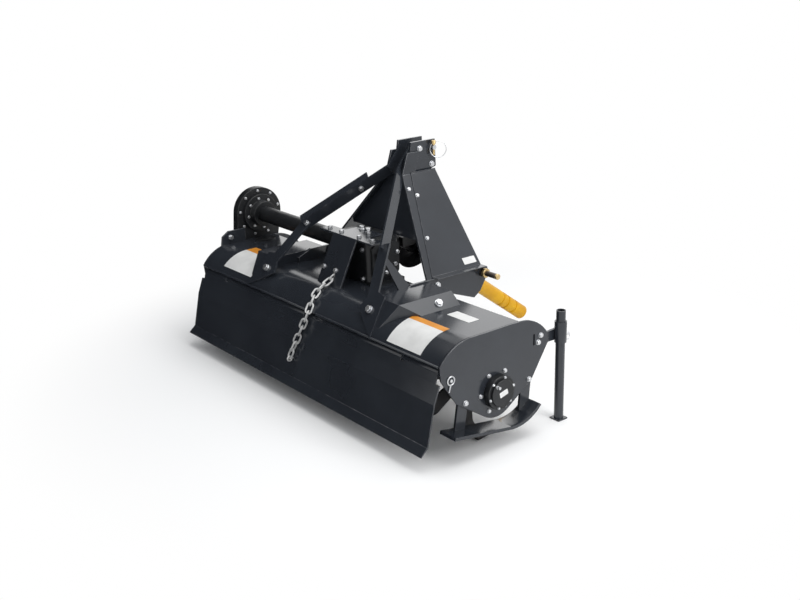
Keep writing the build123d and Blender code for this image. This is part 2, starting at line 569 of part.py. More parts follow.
# Mast, A-frame legs and shield
mast_right = plate_yz(outline(MAST_OUTLINE), MAST_GAP / 2, MAST_OUT)
top_at = (TOP_PIN_Y, TOP_PIN_Z)
pin_reach = MAST_OUT + TOP_PIN_OVERHANG
mast_right -= rod((0, *top_at), (pin_reach, *top_at), TOP_PIN_R + RUNNING_FIT)
top_link_pin = rod((-pin_reach, *top_at), (pin_reach, *top_at), TOP_PIN_R)
leg_line = [(MAST_OUT, LEG_TOP), (MAST_OUT, LEG_BEND_Z), (plate_low - LEG_T, HITCH_PLATE_TOP - LEG_BEND_DROP),
            (plate_low - LEG_T, HOOD_RISE)]
leg_rise = LEG_TOP - HOOD_RISE
leg_half = LEG_WIDTH / 2 * hypot(LEG_TOP_Y - LEG_FOOT_Y, leg_rise) / leg_rise
leg_side = outline([(LEG_FOOT_Y - leg_half, HOOD_RISE), (LEG_FOOT_Y + leg_half, HOOD_RISE),
                    (LEG_TOP_Y + leg_half, LEG_TOP), (LEG_TOP_Y - leg_half, LEG_TOP)])
leg_right = plate_xz(strip(leg_line, LEG_T), -HALF, HALF) & plate_yz(leg_side, 0, HALF)
leg_left = mirror(leg_right, about=Plane.YZ)
leg_outer = offset_line(leg_line, LEG_T)
bend_x, bend_z = leg_outer[1]
shield_run = (leg_outer[2][0] - bend_x) / (bend_z - leg_outer[2][1])
shield_line = [(bend_x, SHIELD_TOP), (bend_x, bend_z), (bend_x + shield_run * (bend_z - HITCH_PLATE_TOP), HITCH_PLATE_TOP),
               (SADDLE_IN + SHIELD_LIP, HITCH_PLATE_TOP)]
shield_side = outline([(SHIELD_REAR_FOOT, HITCH_PLATE_TOP), (SHIELD_FRONT, HITCH_PLATE_TOP),
                       (SHIELD_FRONT, SHIELD_TOP), (SHIELD_REAR_TOP, SHIELD_TOP)])
shield_right = plate_xz(strip(shield_line, SHIELD_T), -HALF, HALF) & plate_yz(shield_side, 0, HALF)
shield_left = mirror(shield_right, about=Plane.YZ)
mast_left = mirror(mast_right, about=Plane.YZ)


def leg_place(height):
    """X of the leg's inner face and Y of its middle at a height between its bends."""
    share = (LEG_BEND_Z - height) / (LEG_BEND_Z - leg_line[2][1])
    return (MAST_OUT + share * (leg_line[2][0] - MAST_OUT),
            LEG_FOOT_Y + (height - HOOD_RISE) / leg_rise * (LEG_TOP_Y - LEG_FOOT_Y))


low_x, low_y = leg_place(PANEL_LOW)
high_x, high_y = leg_place(PANEL_HIGH)
panel_face = outline([(-low_x, PANEL_LOW), (low_x, PANEL_LOW), (high_x, PANEL_HIGH), (-high_x, PANEL_HIGH)])
panel_sheet = strip([(low_y, PANEL_LOW), (high_y, PANEL_HIGH)], SHIELD_T)
frame_panel = plate_xz(panel_face, -HALF, HALF) & plate_yz(panel_sheet, -HALF, HALF)
for neighbour in (mast_right, mast_left, leg_right, leg_left):
    frame_panel -= neighbour
frame_panel = main_solid(frame_panel)

# Braces
slope = (Vector(SADDLE_REAR_TOP, saddle_top) - Vector(tip_y, tip_z)).normalized()
off_slope = Vector(0, -slope.Y, slope.X)
lean = radians(BRACE_FOOT_LEAN)
foot_axis = Vector(-sin(lean), slope.X * cos(lean), slope.Y * cos(lean))
foot_bolt = Vector(BRACE_FOOT_X, SADDLE_REAR_TOP - slope.X * BRACE_FOOT_DOWN, saddle_top - slope.Y * BRACE_FOOT_DOWN)
foot_bolt += off_slope * (BRACE_T / 2)
brace_joint = foot_bolt + foot_axis * BRACE_FOOT_LENGTH
foot_ends = (foot_bolt - foot_axis * BRACE_FOOT_END, brace_joint + foot_axis * BRACE_FOOT_END)
tongue_plane = Plane(origin=foot_bolt, x_dir=(1, 0, 0), z_dir=off_slope)
brace_foot_right = flat_bar(*foot_ends, BRACE_FOOT_WIDTH, BRACE_T, (1, 0, 0))
brace_foot_right += extrude(tongue_plane * outline(list(BRACE_TONGUE)), BRACE_T / 2, both=True)
brace_foot_right = main_solid(brace_foot_right - deck_block - saddle_right)
brace_foot_left = mirror(brace_foot_right, about=Plane.YZ)
head_in = MAST_GAP / 2 - BRACE_T
brace_top = Vector(MAST_GAP / 2 - BRACE_T / 2, *BRACE_TOP)
brace_axis = (brace_top - brace_joint).normalized()
brace_wide = (Vector(0, 1, -1) - brace_axis * brace_axis.dot(Vector(0, 1, -1))).normalized()
brace_right = flat_bar(brace_joint, brace_top, BRACE_WIDTH, BRACE_T, brace_wide)
brace_right += plate_yz(outline(list(BRACE_HEAD)), head_in, MAST_GAP / 2)
for neighbour in (brace_foot_right, leg_right, mast_right, frame_panel):
    brace_right -= neighbour
brace_right = main_solid(brace_right)
brace_left = mirror(brace_right, about=Plane.YZ)
splice_side = (Vector(1, 0, 0) - brace_axis * brace_axis.X).normalized()
splice_lift = brace_wide * -(BRACE_WIDTH / 2 + SPLICE_T / 2 - SPLICE_BITE)
splice_low = brace_joint + splice_lift + splice_side * (SPLICE_WIDTH / 2 - BRACE_T / 2)
splice_high = splice_low + (brace_top - brace_joint) * SPLICE_END
brace_splice = flat_bar(splice_low, splice_high, SPLICE_WIDTH, SPLICE_T, splice_side)
for neighbour in (brace_right, brace_foot_right):
    brace_splice -= neighbour
brace_splice = mirror(main_solid(brace_splice), about=Plane.YZ)
gusset_rise = foot_bolt + foot_axis * (BRACE_FOOT_LENGTH * GUSSET_HEAD) - Vector(*GUSSET_FOOT)
gusset_up = Vector(gusset_rise.X, 0, gusset_rise.Z)
foot_half, head_half = GUSSET_FOOT_WIDTH / 2, GUSSET_HEAD_WIDTH / 2
gusset_face = outline([(-foot_half, 0), (foot_half, 0), (gusset_rise.Y + head_half, gusset_up.length),
                       (gusset_rise.Y - head_half, gusset_up.length)])
gusset_plane = Plane(origin=GUSSET_FOOT, x_dir=(0, 1, 0), z_dir=Vector(0, 1, 0).cross(gusset_up))
gusset_brace = extrude(gusset_plane * gusset_face, BRACE_T / 2, both=True)
for neighbour in (saddle_right, hitch_plate_right, brace_foot_right, brace_right):
    gusset_brace -= neighbour
gusset_brace = main_solid(gusset_brace)

# Skids
skid_along = (cos(radians(SKID_SLOPE)), -sin(radians(SKID_SLOPE)))
skid_up = (sin(radians(SKID_SLOPE)), cos(radians(SKID_SLOPE)))


def skid_point(along, up):
    """A point along and above the runner's straight underside, from its heel."""
    return (SKID_HEEL[0] + skid_along[0] * along + skid_up[0] * up,
            SKID_HEEL[1] + skid_along[1] * along + skid_up[1] * up)


def toe_point(sweep, up):
    """A point on the runner's turned-up toe, above its underside."""
    turn = radians(sweep)
    return skid_point(SKID_STRAIGHT + (SKID_TOE_R - up) * sin(turn), SKID_TOE_R - (SKID_TOE_R - up) * cos(turn))


def skid_line(up):
    """The runner's line from heel to toe, above its underside."""
    toe = [toe_point(s, up) for s in (0, SKID_TOE_SWEEP / 2, SKID_TOE_SWEEP)]
    return [Line(skid_point(0, up), toe[0]), ThreePointArc(*toe)]


heel_low, heel_high = skid_point(0, 0), skid_point(0, SKID_T)
toe_low, toe_high = toe_point(SKID_TOE_SWEEP, 0), toe_point(SKID_TOE_SWEEP, SKID_T)
runner_face = make_face(skid_line(0) + skid_line(SKID_T) + [Line(heel_low, heel_high), Line(toe_low, toe_high)])
skid_in = PLATE_IN - SKID_INSIDE
skid_right = plate_yz(runner_face, skid_in, skid_in + SKID_WIDTH)
heel_mid, toe_mid = skid_point(0, SKID_T / 2), toe_point(SKID_TOE_SWEEP, SKID_T / 2)
under_runner = make_face(skid_line(SKID_T / 2) + [
    Polyline(heel_mid, (heel_mid[0], GROUND), (toe_mid[0], GROUND), toe_mid)])
leg_in = PLATE_IN - SKID_LEG_T
for bolt_y, top_z, foot_y in SKID_LEGS:
    half = SKID_LEG_WIDTH / 2
    leg_face = outline([(bolt_y - half, top_z), (bolt_y + half, top_z), (foot_y + half, GROUND), (foot_y - half, GROUND)])
    skid_right += plate_yz(leg_face, leg_in, PLATE_IN) - plate_yz(under_runner, leg_in, PLATE_IN)
skid_left = mirror(skid_right, about=Plane.YZ)

# Parking stand
parking_stand = rod((STAND_X, STAND_Y, GROUND), (STAND_X, STAND_Y, STAND_TOP), STAND_R)
parking_stand -= rod((STAND_X, STAND_Y, GROUND + STAND_FOOT_T), (STAND_X, STAND_Y, STAND_TOP), STAND_R - STAND_WALL)
parking_stand += Pos(STAND_X, STAND_Y, GROUND) * Box(STAND_FOOT_SIZE, STAND_FOOT_SIZE, STAND_FOOT_T, align=MIN_ALIGN)
arm_face = outline([(ARM_REAR, ARM_REAR_LOW), (ARM_REAR, ARM_REAR_HIGH), (ARM_STEP, ARM_REAR_HIGH),
                    (front_outer[0], ARM_WAIST), (STAND_Y, ARM_HIGH), (STAND_Y, ARM_LOW), (front_outer[0] + ARM_TOE, ARM_LOW)])
stand_bracket = plate_yz(arm_face, PLATE_IN - LEG_T, PLATE_IN)
stand_bracket += rod((STAND_X, STAND_Y, SLEEVE_LOW), (STAND_X, STAND_Y, SLEEVE_HIGH), SLEEVE_R)
stand_bracket -= rod((STAND_X, STAND_Y, SLEEVE_LOW), (STAND_X, STAND_Y, SLEEVE_HIGH), STAND_R + SLIDE_FIT)
lock_start = STAND_Y + STAND_R + 2 * SLIDE_FIT
lock_pin = rod((STAND_X, lock_start, LOCK_PIN_Z), (STAND_X, lock_start + LOCK_PIN_LENGTH, LOCK_PIN_Z), LOCK_PIN_R)
stand_bracket -= rod((STAND_X, STAND_Y, LOCK_PIN_Z), (STAND_X, STAND_Y + 2 * SLEEVE_R, LOCK_PIN_Z),
                     LOCK_PIN_R + RUNNING_FIT)

# Tailgate and its hinge
hinge_y, hinge_z = rear_outer[0] + HINGE_AHEAD, rear_outer[1] - HINGE_BELOW
hinge_at = (hinge_y, hinge_z)
shoulder, crease, lower, lip = [(hinge_y + y, hinge_z + z) for y, z in TAILGATE_BENDS]
hinge_rod = rod((-PLATE_IN, *hinge_at), (PLATE_IN, *hinge_at), HINGE_ROD_R)
under_deck = make_face(deck_line(DECK_T) + [Polyline(
    rear_inner, (-HALF, rear_inner[1]), (-HALF, GROUND), (HALF, GROUND), (HALF, fold_inner[1]), fold_inner)])
lug_face = Pos(*hinge_at) * Circle(LUG_R)
lug_face += Pos(hinge_y, hinge_z + DECK_BEND_R / 4) * Rectangle(1.5 * LUG_R, DECK_BEND_R / 2)
lug_face -= Pos(*hinge_at) * Circle(HINGE_ROD_R + RUNNING_FIT)
lug_face = lug_face & under_deck
hinge_lugs = [plate_yz(lug_face, x - LUG_T / 2, x + LUG_T / 2) for x in LUG_XS]
panel_line = [(hinge_y - KNUCKLE_R, hinge_z), shoulder, crease, lower, lip]
panel_half = HALF + TAILGATE_OVERHANG
tailgate_panel = plate_yz(strip(panel_line, TAILGATE_T), -panel_half, panel_half)
tailgate_panel += rod((-panel_half, *hinge_at), (panel_half, *hinge_at), KNUCKLE_R)
tailgate_panel -= rod((-panel_half, *hinge_at), (panel_half, *hinge_at), HINGE_ROD_R + RUNNING_FIT)
for x in LUG_XS:
    reach = LUG_T / 2 + LUG_GAP
    tailgate_panel -= rod((x - reach, *hinge_at), (x + reach, *hinge_at), KNUCKLE_R + LUG_SWING_GAP)
strip_half = PLATE_IN - TAILGATE_SIDE_GAP
for side in (1, -1):
    notch_middle = side * (strip_half + panel_half + NOTCH_MARGIN) / 2
    tailgate_panel -= Pos(notch_middle, hinge_y, shoulder[1]) * Box(
        panel_half - strip_half + NOTCH_MARGIN, 4 * KNUCKLE_R, 4 * KNUCKLE_R, align=MIN_ALIGN)

# Chain from the bracket over the deck's edge to the eye on the tailgate
chain_half = CHAIN_INNER_HALF + 2 * CHAIN_WIRE_R
eye_z = crease[1] - EYE_BELOW
eye_share = EYE_BELOW / (crease[1] - lower[1])
panel_y = crease[0] + eye_share * (lower[0] - crease[0])
eye_y = panel_y - EYE_STAND_OFF
wrap_r = DECK_BEND_R + chain_half + CHAIN_LIFT
wrap_from = hypot(CHAIN_START[0] + DECK_FLAT_REAR, CHAIN_START[1] - DECK_BEND_Z)
wrap_angle = degrees(atan2(-CHAIN_START[0] - DECK_FLAT_REAR, CHAIN_START[1] - DECK_BEND_Z) + acos(wrap_r / wrap_from))
chain_route = [Vector(CHAIN_TOP_X, *CHAIN_START)]
for k in range(CHAIN_WRAP_STEPS + 1):
    share = k / CHAIN_WRAP_STEPS
    across = CHAIN_TOP_X + (CHAIN_EDGE_X - CHAIN_TOP_X) * share
    chain_route.append(Vector(across, *deck_point(wrap_r, wrap_angle + (DECK_REAR_SWEEP - wrap_angle) * share, True)))
chain_route.append(Vector(CHAIN_EYE_X, eye_y, eye_z + EYE_R - EYE_WIRE_R - SLIDE_FIT))


def along_route(distance):
    """The point at a distance along the chain's route."""
    for a, b in zip(chain_route, chain_route[1:]):
        step = (b - a).length
        if distance <= step:
            break
        distance -= step
    return a + (b - a) * (distance / step)


def link(pitch):
    """One link in the XZ plane, its length along Z."""
    middle = CHAIN_INNER_HALF + CHAIN_WIRE_R
    half_run = (pitch + CHAIN_PLAY) / 2 - CHAIN_INNER_HALF
    section = Pos(middle) * RegularPolygon(CHAIN_WIRE_R, 8)
    side = Pos(Z=-half_run) * extrude(section, 2 * half_run, dir=(0, 0, 1))
    bend = Pos(Z=half_run) * revolve(section, Axis((0, 0, 0), (0, -1, 0)), 180)
    ring = side + Rot(Y=180) * side + bend + Rot(Y=180) * bend
    return ring


route_length = sum((b - a).length for a, b in zip(chain_route, chain_route[1:]))
pitch = route_length / CHAIN_LINKS
chain_links = []
for k in range(CHAIN_LINKS):
    low, high = along_route(pitch * k), along_route(pitch * (k + 1))
    across = (1, 0, 0)
    if k % 2 == CHAIN_SLOT_LINK:
        across = (high - low).cross(Vector(1, 0, 0))
    frame = Plane(origin=(low + high) * 0.5, x_dir=across, z_dir=high - low)
    chain_links.append(frame * link(pitch))
    if k == CHAIN_SLOT_LINK:
        slot = (2 * (chain_half + CHAIN_SLOT_PLAY), 2 * (CHAIN_WIRE_R + CHAIN_SLOT_PLAY), 2 * pitch)
        gearbox_bracket -= frame * Box(*slot)
eye_ring = Plane(origin=(CHAIN_EYE_X, eye_y, eye_z), z_dir=(1, 0, 0)) * Torus(EYE_R, EYE_WIRE_R)
eye_stem_end = (CHAIN_EYE_X, panel_y + TAILGATE_T / 2, eye_z)
chain_eye = eye_ring + rod((CHAIN_EYE_X, eye_y + EYE_R, eye_z), eye_stem_end, EYE_WIRE_R)
chain_eye -= tailgate_panel

# Set the machine on the ground, its box centred fore and aft
front_reach = driveline_guard.bounding_box().max.Y
rear_reach = tailgate_panel.bounding_box().min.Y
ROTOR_Y = -(front_reach + rear_reach) / 2
nodes = {
    "deck_shell": [deck_shell], "end_plate_right": [end_plate_right], "end_plate_left": [end_plate_left],
    "hinge_rod": [hinge_rod], "hinge_lugs": hinge_lugs,
    "tine_rotor": [tine_rotor], "bearing_housing": [bearing_housing], "bearing_cap": [bearing_cap],
    "chain_case": [chain_case], "chain_case_cover": [case_cover],
    "cross_shaft_flange": [cross_shaft_flange], "cross_shaft_tube": [cross_shaft_tube],
    "gearbox_housing": [gearbox_housing], "gearbox_side_cover": [side_cover], "gearbox_bracket": [gearbox_bracket],
    "input_shaft": [input_shaft], "input_yoke": [input_yoke], "joint_cross": [joint_cross],
    "driveline_yoke": [driveline_yoke], "driveline_tube": [driveline_tube], "driveline_guard": [driveline_guard],
    "saddle_right": [saddle_right], "saddle_left": [saddle_left],
    "hitch_plate_right": [hitch_plate_right], "hitch_plate_left": [hitch_plate_left],
    "hitch_pin_right": [hitch_pin_right], "hitch_pin_left": [hitch_pin_left],
    "mast_plate_right": [mast_right], "mast_plate_left": [mast_left], "top_link_pin": [top_link_pin],
    "frame_leg_right": [leg_right], "frame_leg_left": [leg_left],
    "shield_right": [shield_right], "shield_left": [shield_left], "frame_panel": [frame_panel],
    "brace_foot_right": [brace_foot_right], "brace_foot_left": [brace_foot_left],
    "brace_right": [brace_right], "brace_left": [brace_left], "brace_splice": [brace_splice],
    "gusset_brace": [gusset_brace],
    "skid_right": [skid_right], "skid_left": [skid_left],
    "parking_stand": [parking_stand], "stand_bracket": [stand_bracket], "stand_lock_pin": [lock_pin],
    "tailgate_panel": [tailgate_panel], "chain_eye": [chain_eye], "tail_chain": chain_links,
}
os.makedirs("parts", exist_ok=True)
place = Pos(0, ROTOR_Y, TINE_REACH)
for name, pieces in nodes.items():
    solids = [solid for piece in pieces for solid in (place * piece).solids()]
    export_step(Compound(children=solids) if len(solids) > 1 else solids[0], f"parts/{name}.step")
print(f"rotor axis at Y {ROTOR_Y:.3f}, Z {TINE_REACH:.3f}; joint centre Y {JOINT_Y:.3f}; chain pitch {pitch:.2f}")
print(f"tailgate hinge at Y {ROTOR_Y + hinge_y:.3f}, Z {TINE_REACH + hinge_z:.3f}")
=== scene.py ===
"""Studio scene of a rotary tiller for a tractor's three-point hitch.

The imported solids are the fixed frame. Sizes here are millimetres from the rotor axis,
X to the machine's right, Y forward to the tractor and Z up, unless a name says otherwise.
"""

from __future__ import annotations

import json
import logging
import math
from dataclasses import dataclass
from enum import Enum
from typing import Any, Iterable, Sequence

import bmesh
import bpy
from bmesh.types import BMEdge, BMesh, BMFace, BMVert
from bpy.types import Material, Node, NodeSocket, NodeTree, Object
from mathutils import Matrix, Vector

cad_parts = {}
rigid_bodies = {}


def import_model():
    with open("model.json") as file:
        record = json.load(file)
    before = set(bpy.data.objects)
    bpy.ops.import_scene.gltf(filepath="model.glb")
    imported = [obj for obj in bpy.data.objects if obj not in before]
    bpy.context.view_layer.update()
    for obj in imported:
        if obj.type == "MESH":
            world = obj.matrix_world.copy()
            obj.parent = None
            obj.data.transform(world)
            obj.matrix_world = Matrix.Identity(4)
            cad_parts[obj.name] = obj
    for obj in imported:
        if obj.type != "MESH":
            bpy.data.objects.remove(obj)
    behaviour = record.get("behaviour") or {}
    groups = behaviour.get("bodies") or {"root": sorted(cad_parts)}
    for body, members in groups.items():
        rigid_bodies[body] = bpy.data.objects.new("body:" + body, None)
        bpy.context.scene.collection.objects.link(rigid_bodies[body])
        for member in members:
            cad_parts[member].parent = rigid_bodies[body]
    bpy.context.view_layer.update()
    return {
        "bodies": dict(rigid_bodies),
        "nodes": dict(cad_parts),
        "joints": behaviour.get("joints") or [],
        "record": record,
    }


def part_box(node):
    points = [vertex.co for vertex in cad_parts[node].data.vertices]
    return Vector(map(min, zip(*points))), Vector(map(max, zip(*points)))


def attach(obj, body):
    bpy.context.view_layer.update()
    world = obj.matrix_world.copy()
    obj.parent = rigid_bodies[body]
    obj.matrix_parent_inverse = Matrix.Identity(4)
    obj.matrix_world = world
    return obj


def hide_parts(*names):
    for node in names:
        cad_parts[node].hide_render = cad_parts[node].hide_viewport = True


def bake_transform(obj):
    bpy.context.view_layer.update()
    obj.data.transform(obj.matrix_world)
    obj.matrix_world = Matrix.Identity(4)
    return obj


LOG = logging.getLogger("tiller")
MM = 0.001
MERGE_M = 1e-5
SMOOTH_ANGLE = math.radians(32)
UP = Vector((0.0, 0.0, 1.0))
WEAR = "edge_wear"

# Steps of rounded shapes
HEX_SIDES = 6
PIN_SIDES = 12
ROD_SIDES = 16
WASHER_SIDES = 20
WIRE_SIDES = 10
RING_STEPS = 40
LINK_BEND_STEPS = 8
CORNER_STEPS = 5
EDGE_STEPS = 2

# Noise in the finishes: detail, and the span over which one colour gives way to another
CLOUD_DETAIL = 5.0
CLOUD_SPAN = (0.38, 0.66)
FINE_DETAIL = 2.0
PATCH_SCALE = 34.0
PATCH_DETAIL = 4.0
PATCH_SPAN = (0.42, 0.72)

Point = tuple[float, float, float]
Colour = tuple[float, float, float]
Frame = dict[str, Any]


class Body(Enum):
    """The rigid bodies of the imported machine."""

    FRAME = "frame"
    ROTOR = "rotor"
    TAILGATE = "tailgate"
    STAND = "stand"
    CROSS = "cross"
    DRIVELINE = "driveline"


class Slot(Enum):
    """The record's material slots."""

    PAINT = "dark_paint"
    CASTING = "black_casting"
    ZINC = "zinc_plate"
    STEEL = "bare_steel"
    PLASTIC = "yellow_plastic"


class Shading(Enum):
    """How the faces of a piece are shaded."""

    FLAT = "flat"
    SMOOTH = "smooth"
    AS_BUILT = "as built"


def new_material(name: str) -> Material:
    """Make a material with nodes.

    Args:
        name: The material's name.

    Returns:
        The new material.
    """
    material = bpy.data.materials.new(name)
    material.use_nodes = True
    return material


def set_inputs(node: Node, values: dict[str, Any]) -> None:
    """Set a node's input sockets by name."""
    for name, value in values.items():
        node.inputs[name].default_value = value


def add_math(tree: NodeTree, operation: str, one: NodeSocket, two: NodeSocket) -> NodeSocket:
    """Add a math node on two sockets.

    Args:
        tree: The nodes of a material or the world.
        operation: What the node does with the two numbers.
        one: The first number.
        two: The second number.

    Returns:
        The socket with the result.
    """
    node = tree.nodes.new("ShaderNodeMath")
    node.operation = operation
    tree.links.new(one, node.inputs[0])
    tree.links.new(two, node.inputs[1])
    return node.outputs["Value"]


def new_object(name: str, shape: BMesh, material: Material) -> Object:
    """Turn a bmesh into an object in the scene.

    Args:
        name: The object's name.
        shape: Its mesh, in metres, which is freed.
        material: The material of its whole surface.

    Returns:
        The new object.
    """
    mesh = bpy.data.meshes.new(name)
    shape.to_mesh(mesh)
    shape.free()
    mesh.materials.append(material)
    thing = bpy.data.objects.new(name, mesh)
    bpy.context.scene.collection.objects.link(thing)
    return thing


@dataclass(frozen=True)
class GrainSize:
    """Marks that break up a surface: features per metre, and a bump's strength and metres."""

    cloud: float
    fine: float
    bump_strength: float
    bump_depth: float


class Grain(Enum):
    """How the surface of a finish is broken up."""

    POWDER = GrainSize(cloud=5.0, fine=420.0, bump_strength=0.02, bump_depth=0.0003)
    CAST = GrainSize(cloud=14.0, fine=420.0, bump_strength=0.45, bump_depth=0.0010)
    PLATED = GrainSize(cloud=60.0, fine=1400.0, bump_strength=0.08, bump_depth=0.0003)
    FORGED = GrainSize(cloud=22.0, fine=260.0, bump_strength=0.35, bump_depth=0.0008)
    MOULDED = GrainSize(cloud=9.0, fine=700.0, bump_strength=0.06, bump_depth=0.0003)
    FILM = GrainSize(cloud=16.0, fine=1200.0, bump_strength=0.03, bump_depth=0.0002)


@dataclass(frozen=True)
class Finish:
    """A painted, plated or moulded surface, and the colour of its worn edges if it has them."""

    name: str
    colour: Colour
    shade: Colour
    roughness: float
    spread: float
    grain: Grain
    slot: Slot
    metallic: float = 0.0
    specular: float = 0.5
    worn: Colour | None = None

    def material(self) -> Material:
        """Make the finish's material once and hand out the same one after that.

        Returns:
            The material, with cloudy colour, worn edges, uneven gloss and a fine bump.
        """
        known = bpy.data.materials.get(self.name)
        if known:
            return known
        material = new_material(self.name)
        tree = material.node_tree
        nodes, links = tree.nodes, tree.links
        shader = nodes["Principled BSDF"]
        set_inputs(shader, {"Metallic": self.metallic, "Specular IOR Level": self.specular})
        place = nodes.new("ShaderNodeTexCoord")
        size = self.grain.value

        cloud = self.noise(tree, place, size.cloud, CLOUD_DETAIL)
        ramp = nodes.new("ShaderNodeValToRGB")
        stops = ramp.color_ramp.elements
        for stop, position, colour in zip(stops, CLOUD_SPAN, (self.shade, self.colour)):
            stop.position = position
            stop.color = (*colour, 1.0)
        links.new(cloud, ramp.inputs["Fac"])
        paint = ramp.outputs["Color"]
        if self.worn:
            paint = self.wear(tree, place, paint)
        links.new(paint, shader.inputs["Base Color"])

        gloss = nodes.new("ShaderNodeMapRange")
        set_inputs(gloss, {"To Min": self.roughness - self.spread,
                           "To Max": self.roughness + self.spread})
        links.new(cloud, gloss.inputs["Value"])
        links.new(gloss.outputs["Result"], shader.inputs["Roughness"])

        fine = self.noise(tree, place, size.fine, FINE_DETAIL)
        bump = nodes.new("ShaderNodeBump")
        set_inputs(bump, {"Strength": size.bump_strength, "Distance": size.bump_depth})
        links.new(fine, bump.inputs["Height"])
        links.new(bump.outputs["Normal"], shader.inputs["Normal"])
        return material

    @staticmethod
    def noise(tree: NodeTree, place: Node, scale: float, detail: float) -> NodeSocket:
        """Add a noise texture in the object's own coordinates.

        Args:
            tree: The material's nodes.
            place: The texture coordinates.
            scale: Features per metre.
            detail: Octaves of finer noise.

        Returns:
            The socket with the noise.
        """
        noise = tree.nodes.new("ShaderNodeTexNoise")
        set_inputs(noise, {"Scale": scale, "Detail": detail})
        tree.links.new(place.outputs["Object"], noise.inputs["Vector"])
        return noise.outputs["Fac"]

    def wear(self, tree: NodeTree, place: Node, base: NodeSocket) -> NodeSocket:
        """Rub the colour through in patches along the rounded edges.

        Args:
            tree: The material's nodes.
            place: The texture coordinates.
            base: The colour away from the edges.

        Returns:
            The colour with its worn edges.
        """
        nodes, links = tree.nodes, tree.links
        edge = nodes.new("ShaderNodeAttribute")
        edge.attribute_name = WEAR
        patch = self.noise(tree, place, PATCH_SCALE, PATCH_DETAIL)
        reach = nodes.new("ShaderNodeMapRange")
        set_inputs(reach, {"From Min": PATCH_SPAN[0], "From Max": PATCH_SPAN[1]})
        links.new(patch, reach.inputs["Value"])
        share = add_math(tree, "MULTIPLY", edge.outputs["Fac"], reach.outputs["Result"])
        mix = nodes.new("ShaderNodeMix")
        mix.data_type = "RGBA"
        mix.inputs["B"].default_value = (*self.worn, 1.0)
        links.new(share, mix.inputs["Factor"])
        links.new(base, mix.inputs["A"])
        return mix.outputs["Result"]


CHARCOAL = Finish(
    "charcoal gloss coat", (0.025, 0.029, 0.036), (0.020, 0.023, 0.029),
    roughness=0.17, spread=0.04, grain=Grain.POWDER, slot=Slot.PAINT, specular=0.55,
    worn=(0.11, 0.115, 0.125))
BLACK_CAST = Finish(
    "black painted casting", (0.010, 0.011, 0.013), (0.005, 0.006, 0.007),
    roughness=0.42, spread=0.14, grain=Grain.CAST, slot=Slot.CASTING, specular=0.40,
    worn=(0.05, 0.05, 0.05))
ZINC = Finish(
    "bright zinc", (0.70, 0.71, 0.72), (0.52, 0.53, 0.55),
    roughness=0.34, spread=0.10, grain=Grain.PLATED, slot=Slot.ZINC, metallic=1.0)
CHAIN_ZINC = Finish(
    "dull chain zinc", (0.66, 0.66, 0.65), (0.46, 0.46, 0.46),
    roughness=0.45, spread=0.10, grain=Grain.PLATED, slot=Slot.ZINC, metallic=0.35)
YELLOW_ZINC = Finish(
    "yellow passivated zinc", (0.66, 0.50, 0.26), (0.50, 0.36, 0.16),
    roughness=0.34, spread=0.08, grain=Grain.PLATED, slot=Slot.ZINC, metallic=0.9)
PIN_STEEL = Finish(
    "browned pin steel", (0.17, 0.14, 0.12), (0.09, 0.075, 0.065),
    roughness=0.38, spread=0.10, grain=Grain.FORGED, slot=Slot.ZINC, metallic=0.8)
FORGED_STEEL = Finish(
    "forged tine steel", (0.040, 0.039, 0.040), (0.020, 0.020, 0.022),
    roughness=0.46, spread=0.14, grain=Grain.FORGED, slot=Slot.STEEL, metallic=0.6)
GUARD_YELLOW = Finish(
    "yellow guard plastic", (0.66, 0.36, 0.003), (0.55, 0.27, 0.002),
    roughness=0.42, spread=0.08, grain=Grain.MOULDED, slot=Slot.PLASTIC, specular=0.3)
GUARD_BLACK = Finish(
    "black guard plastic", (0.010, 0.010, 0.011), (0.006, 0.006, 0.007),
    roughness=0.48, spread=0.08, grain=Grain.MOULDED, slot=Slot.PLASTIC, specular=0.35)
WHITE_FILM = Finish(
    "white label film", (0.74, 0.74, 0.73), (0.66, 0.66, 0.65),
    roughness=0.38, spread=0.05, grain=Grain.FILM, slot=Slot.PAINT)
AMBER_FILM = Finish(
    "amber label film", (0.70, 0.29, 0.03), (0.62, 0.23, 0.02),
    roughness=0.38, spread=0.05, grain=Grain.FILM, slot=Slot.PAINT)

NODE_FINISHES: dict[Finish, tuple[str, ...]] = {
    BLACK_CAST: ("bearing_housing", "bearing_cap", "chain_case", "cross_shaft_flange",
                 "cross_shaft_tube", "chain_case_cover", "gearbox_housing", "gearbox_side_cover",
                 "input_yoke", "driveline_yoke"),
    ZINC: ("top_link_pin", "stand_lock_pin"),
    CHAIN_ZINC: ("chain_eye", "tail_chain"),
    PIN_STEEL: ("hitch_pin_right", "hitch_pin_left"),
    FORGED_STEEL: ("tine_rotor", "input_shaft", "joint_cross", "driveline_tube", "hinge_rod"),
    GUARD_YELLOW: ("driveline_guard",),
}


@dataclass(frozen=True)
class Datum:
    """The rotor axis, from which every place in this script is given."""

    rotor: Vector

    def at(self, x: float, y: float, z: float) -> Vector:
        """Turn millimetres from the rotor axis into the frame's metres."""
        return self.rotor + Vector((x, y, z)) * MM

    def facing(self, place: Point, normal: Point) -> Matrix:
        """Give the matrix that puts local Z along a normal at a place.

        Args:
            place: Millimetres from the rotor axis.
            normal: The direction that local Z takes.

        Returns:
            The matrix, in metres.
        """
        turn = UP.rotation_difference(Vector(normal).normalized())
        return Matrix.Translation(self.at(*place)) @ turn.to_matrix().to_4x4()


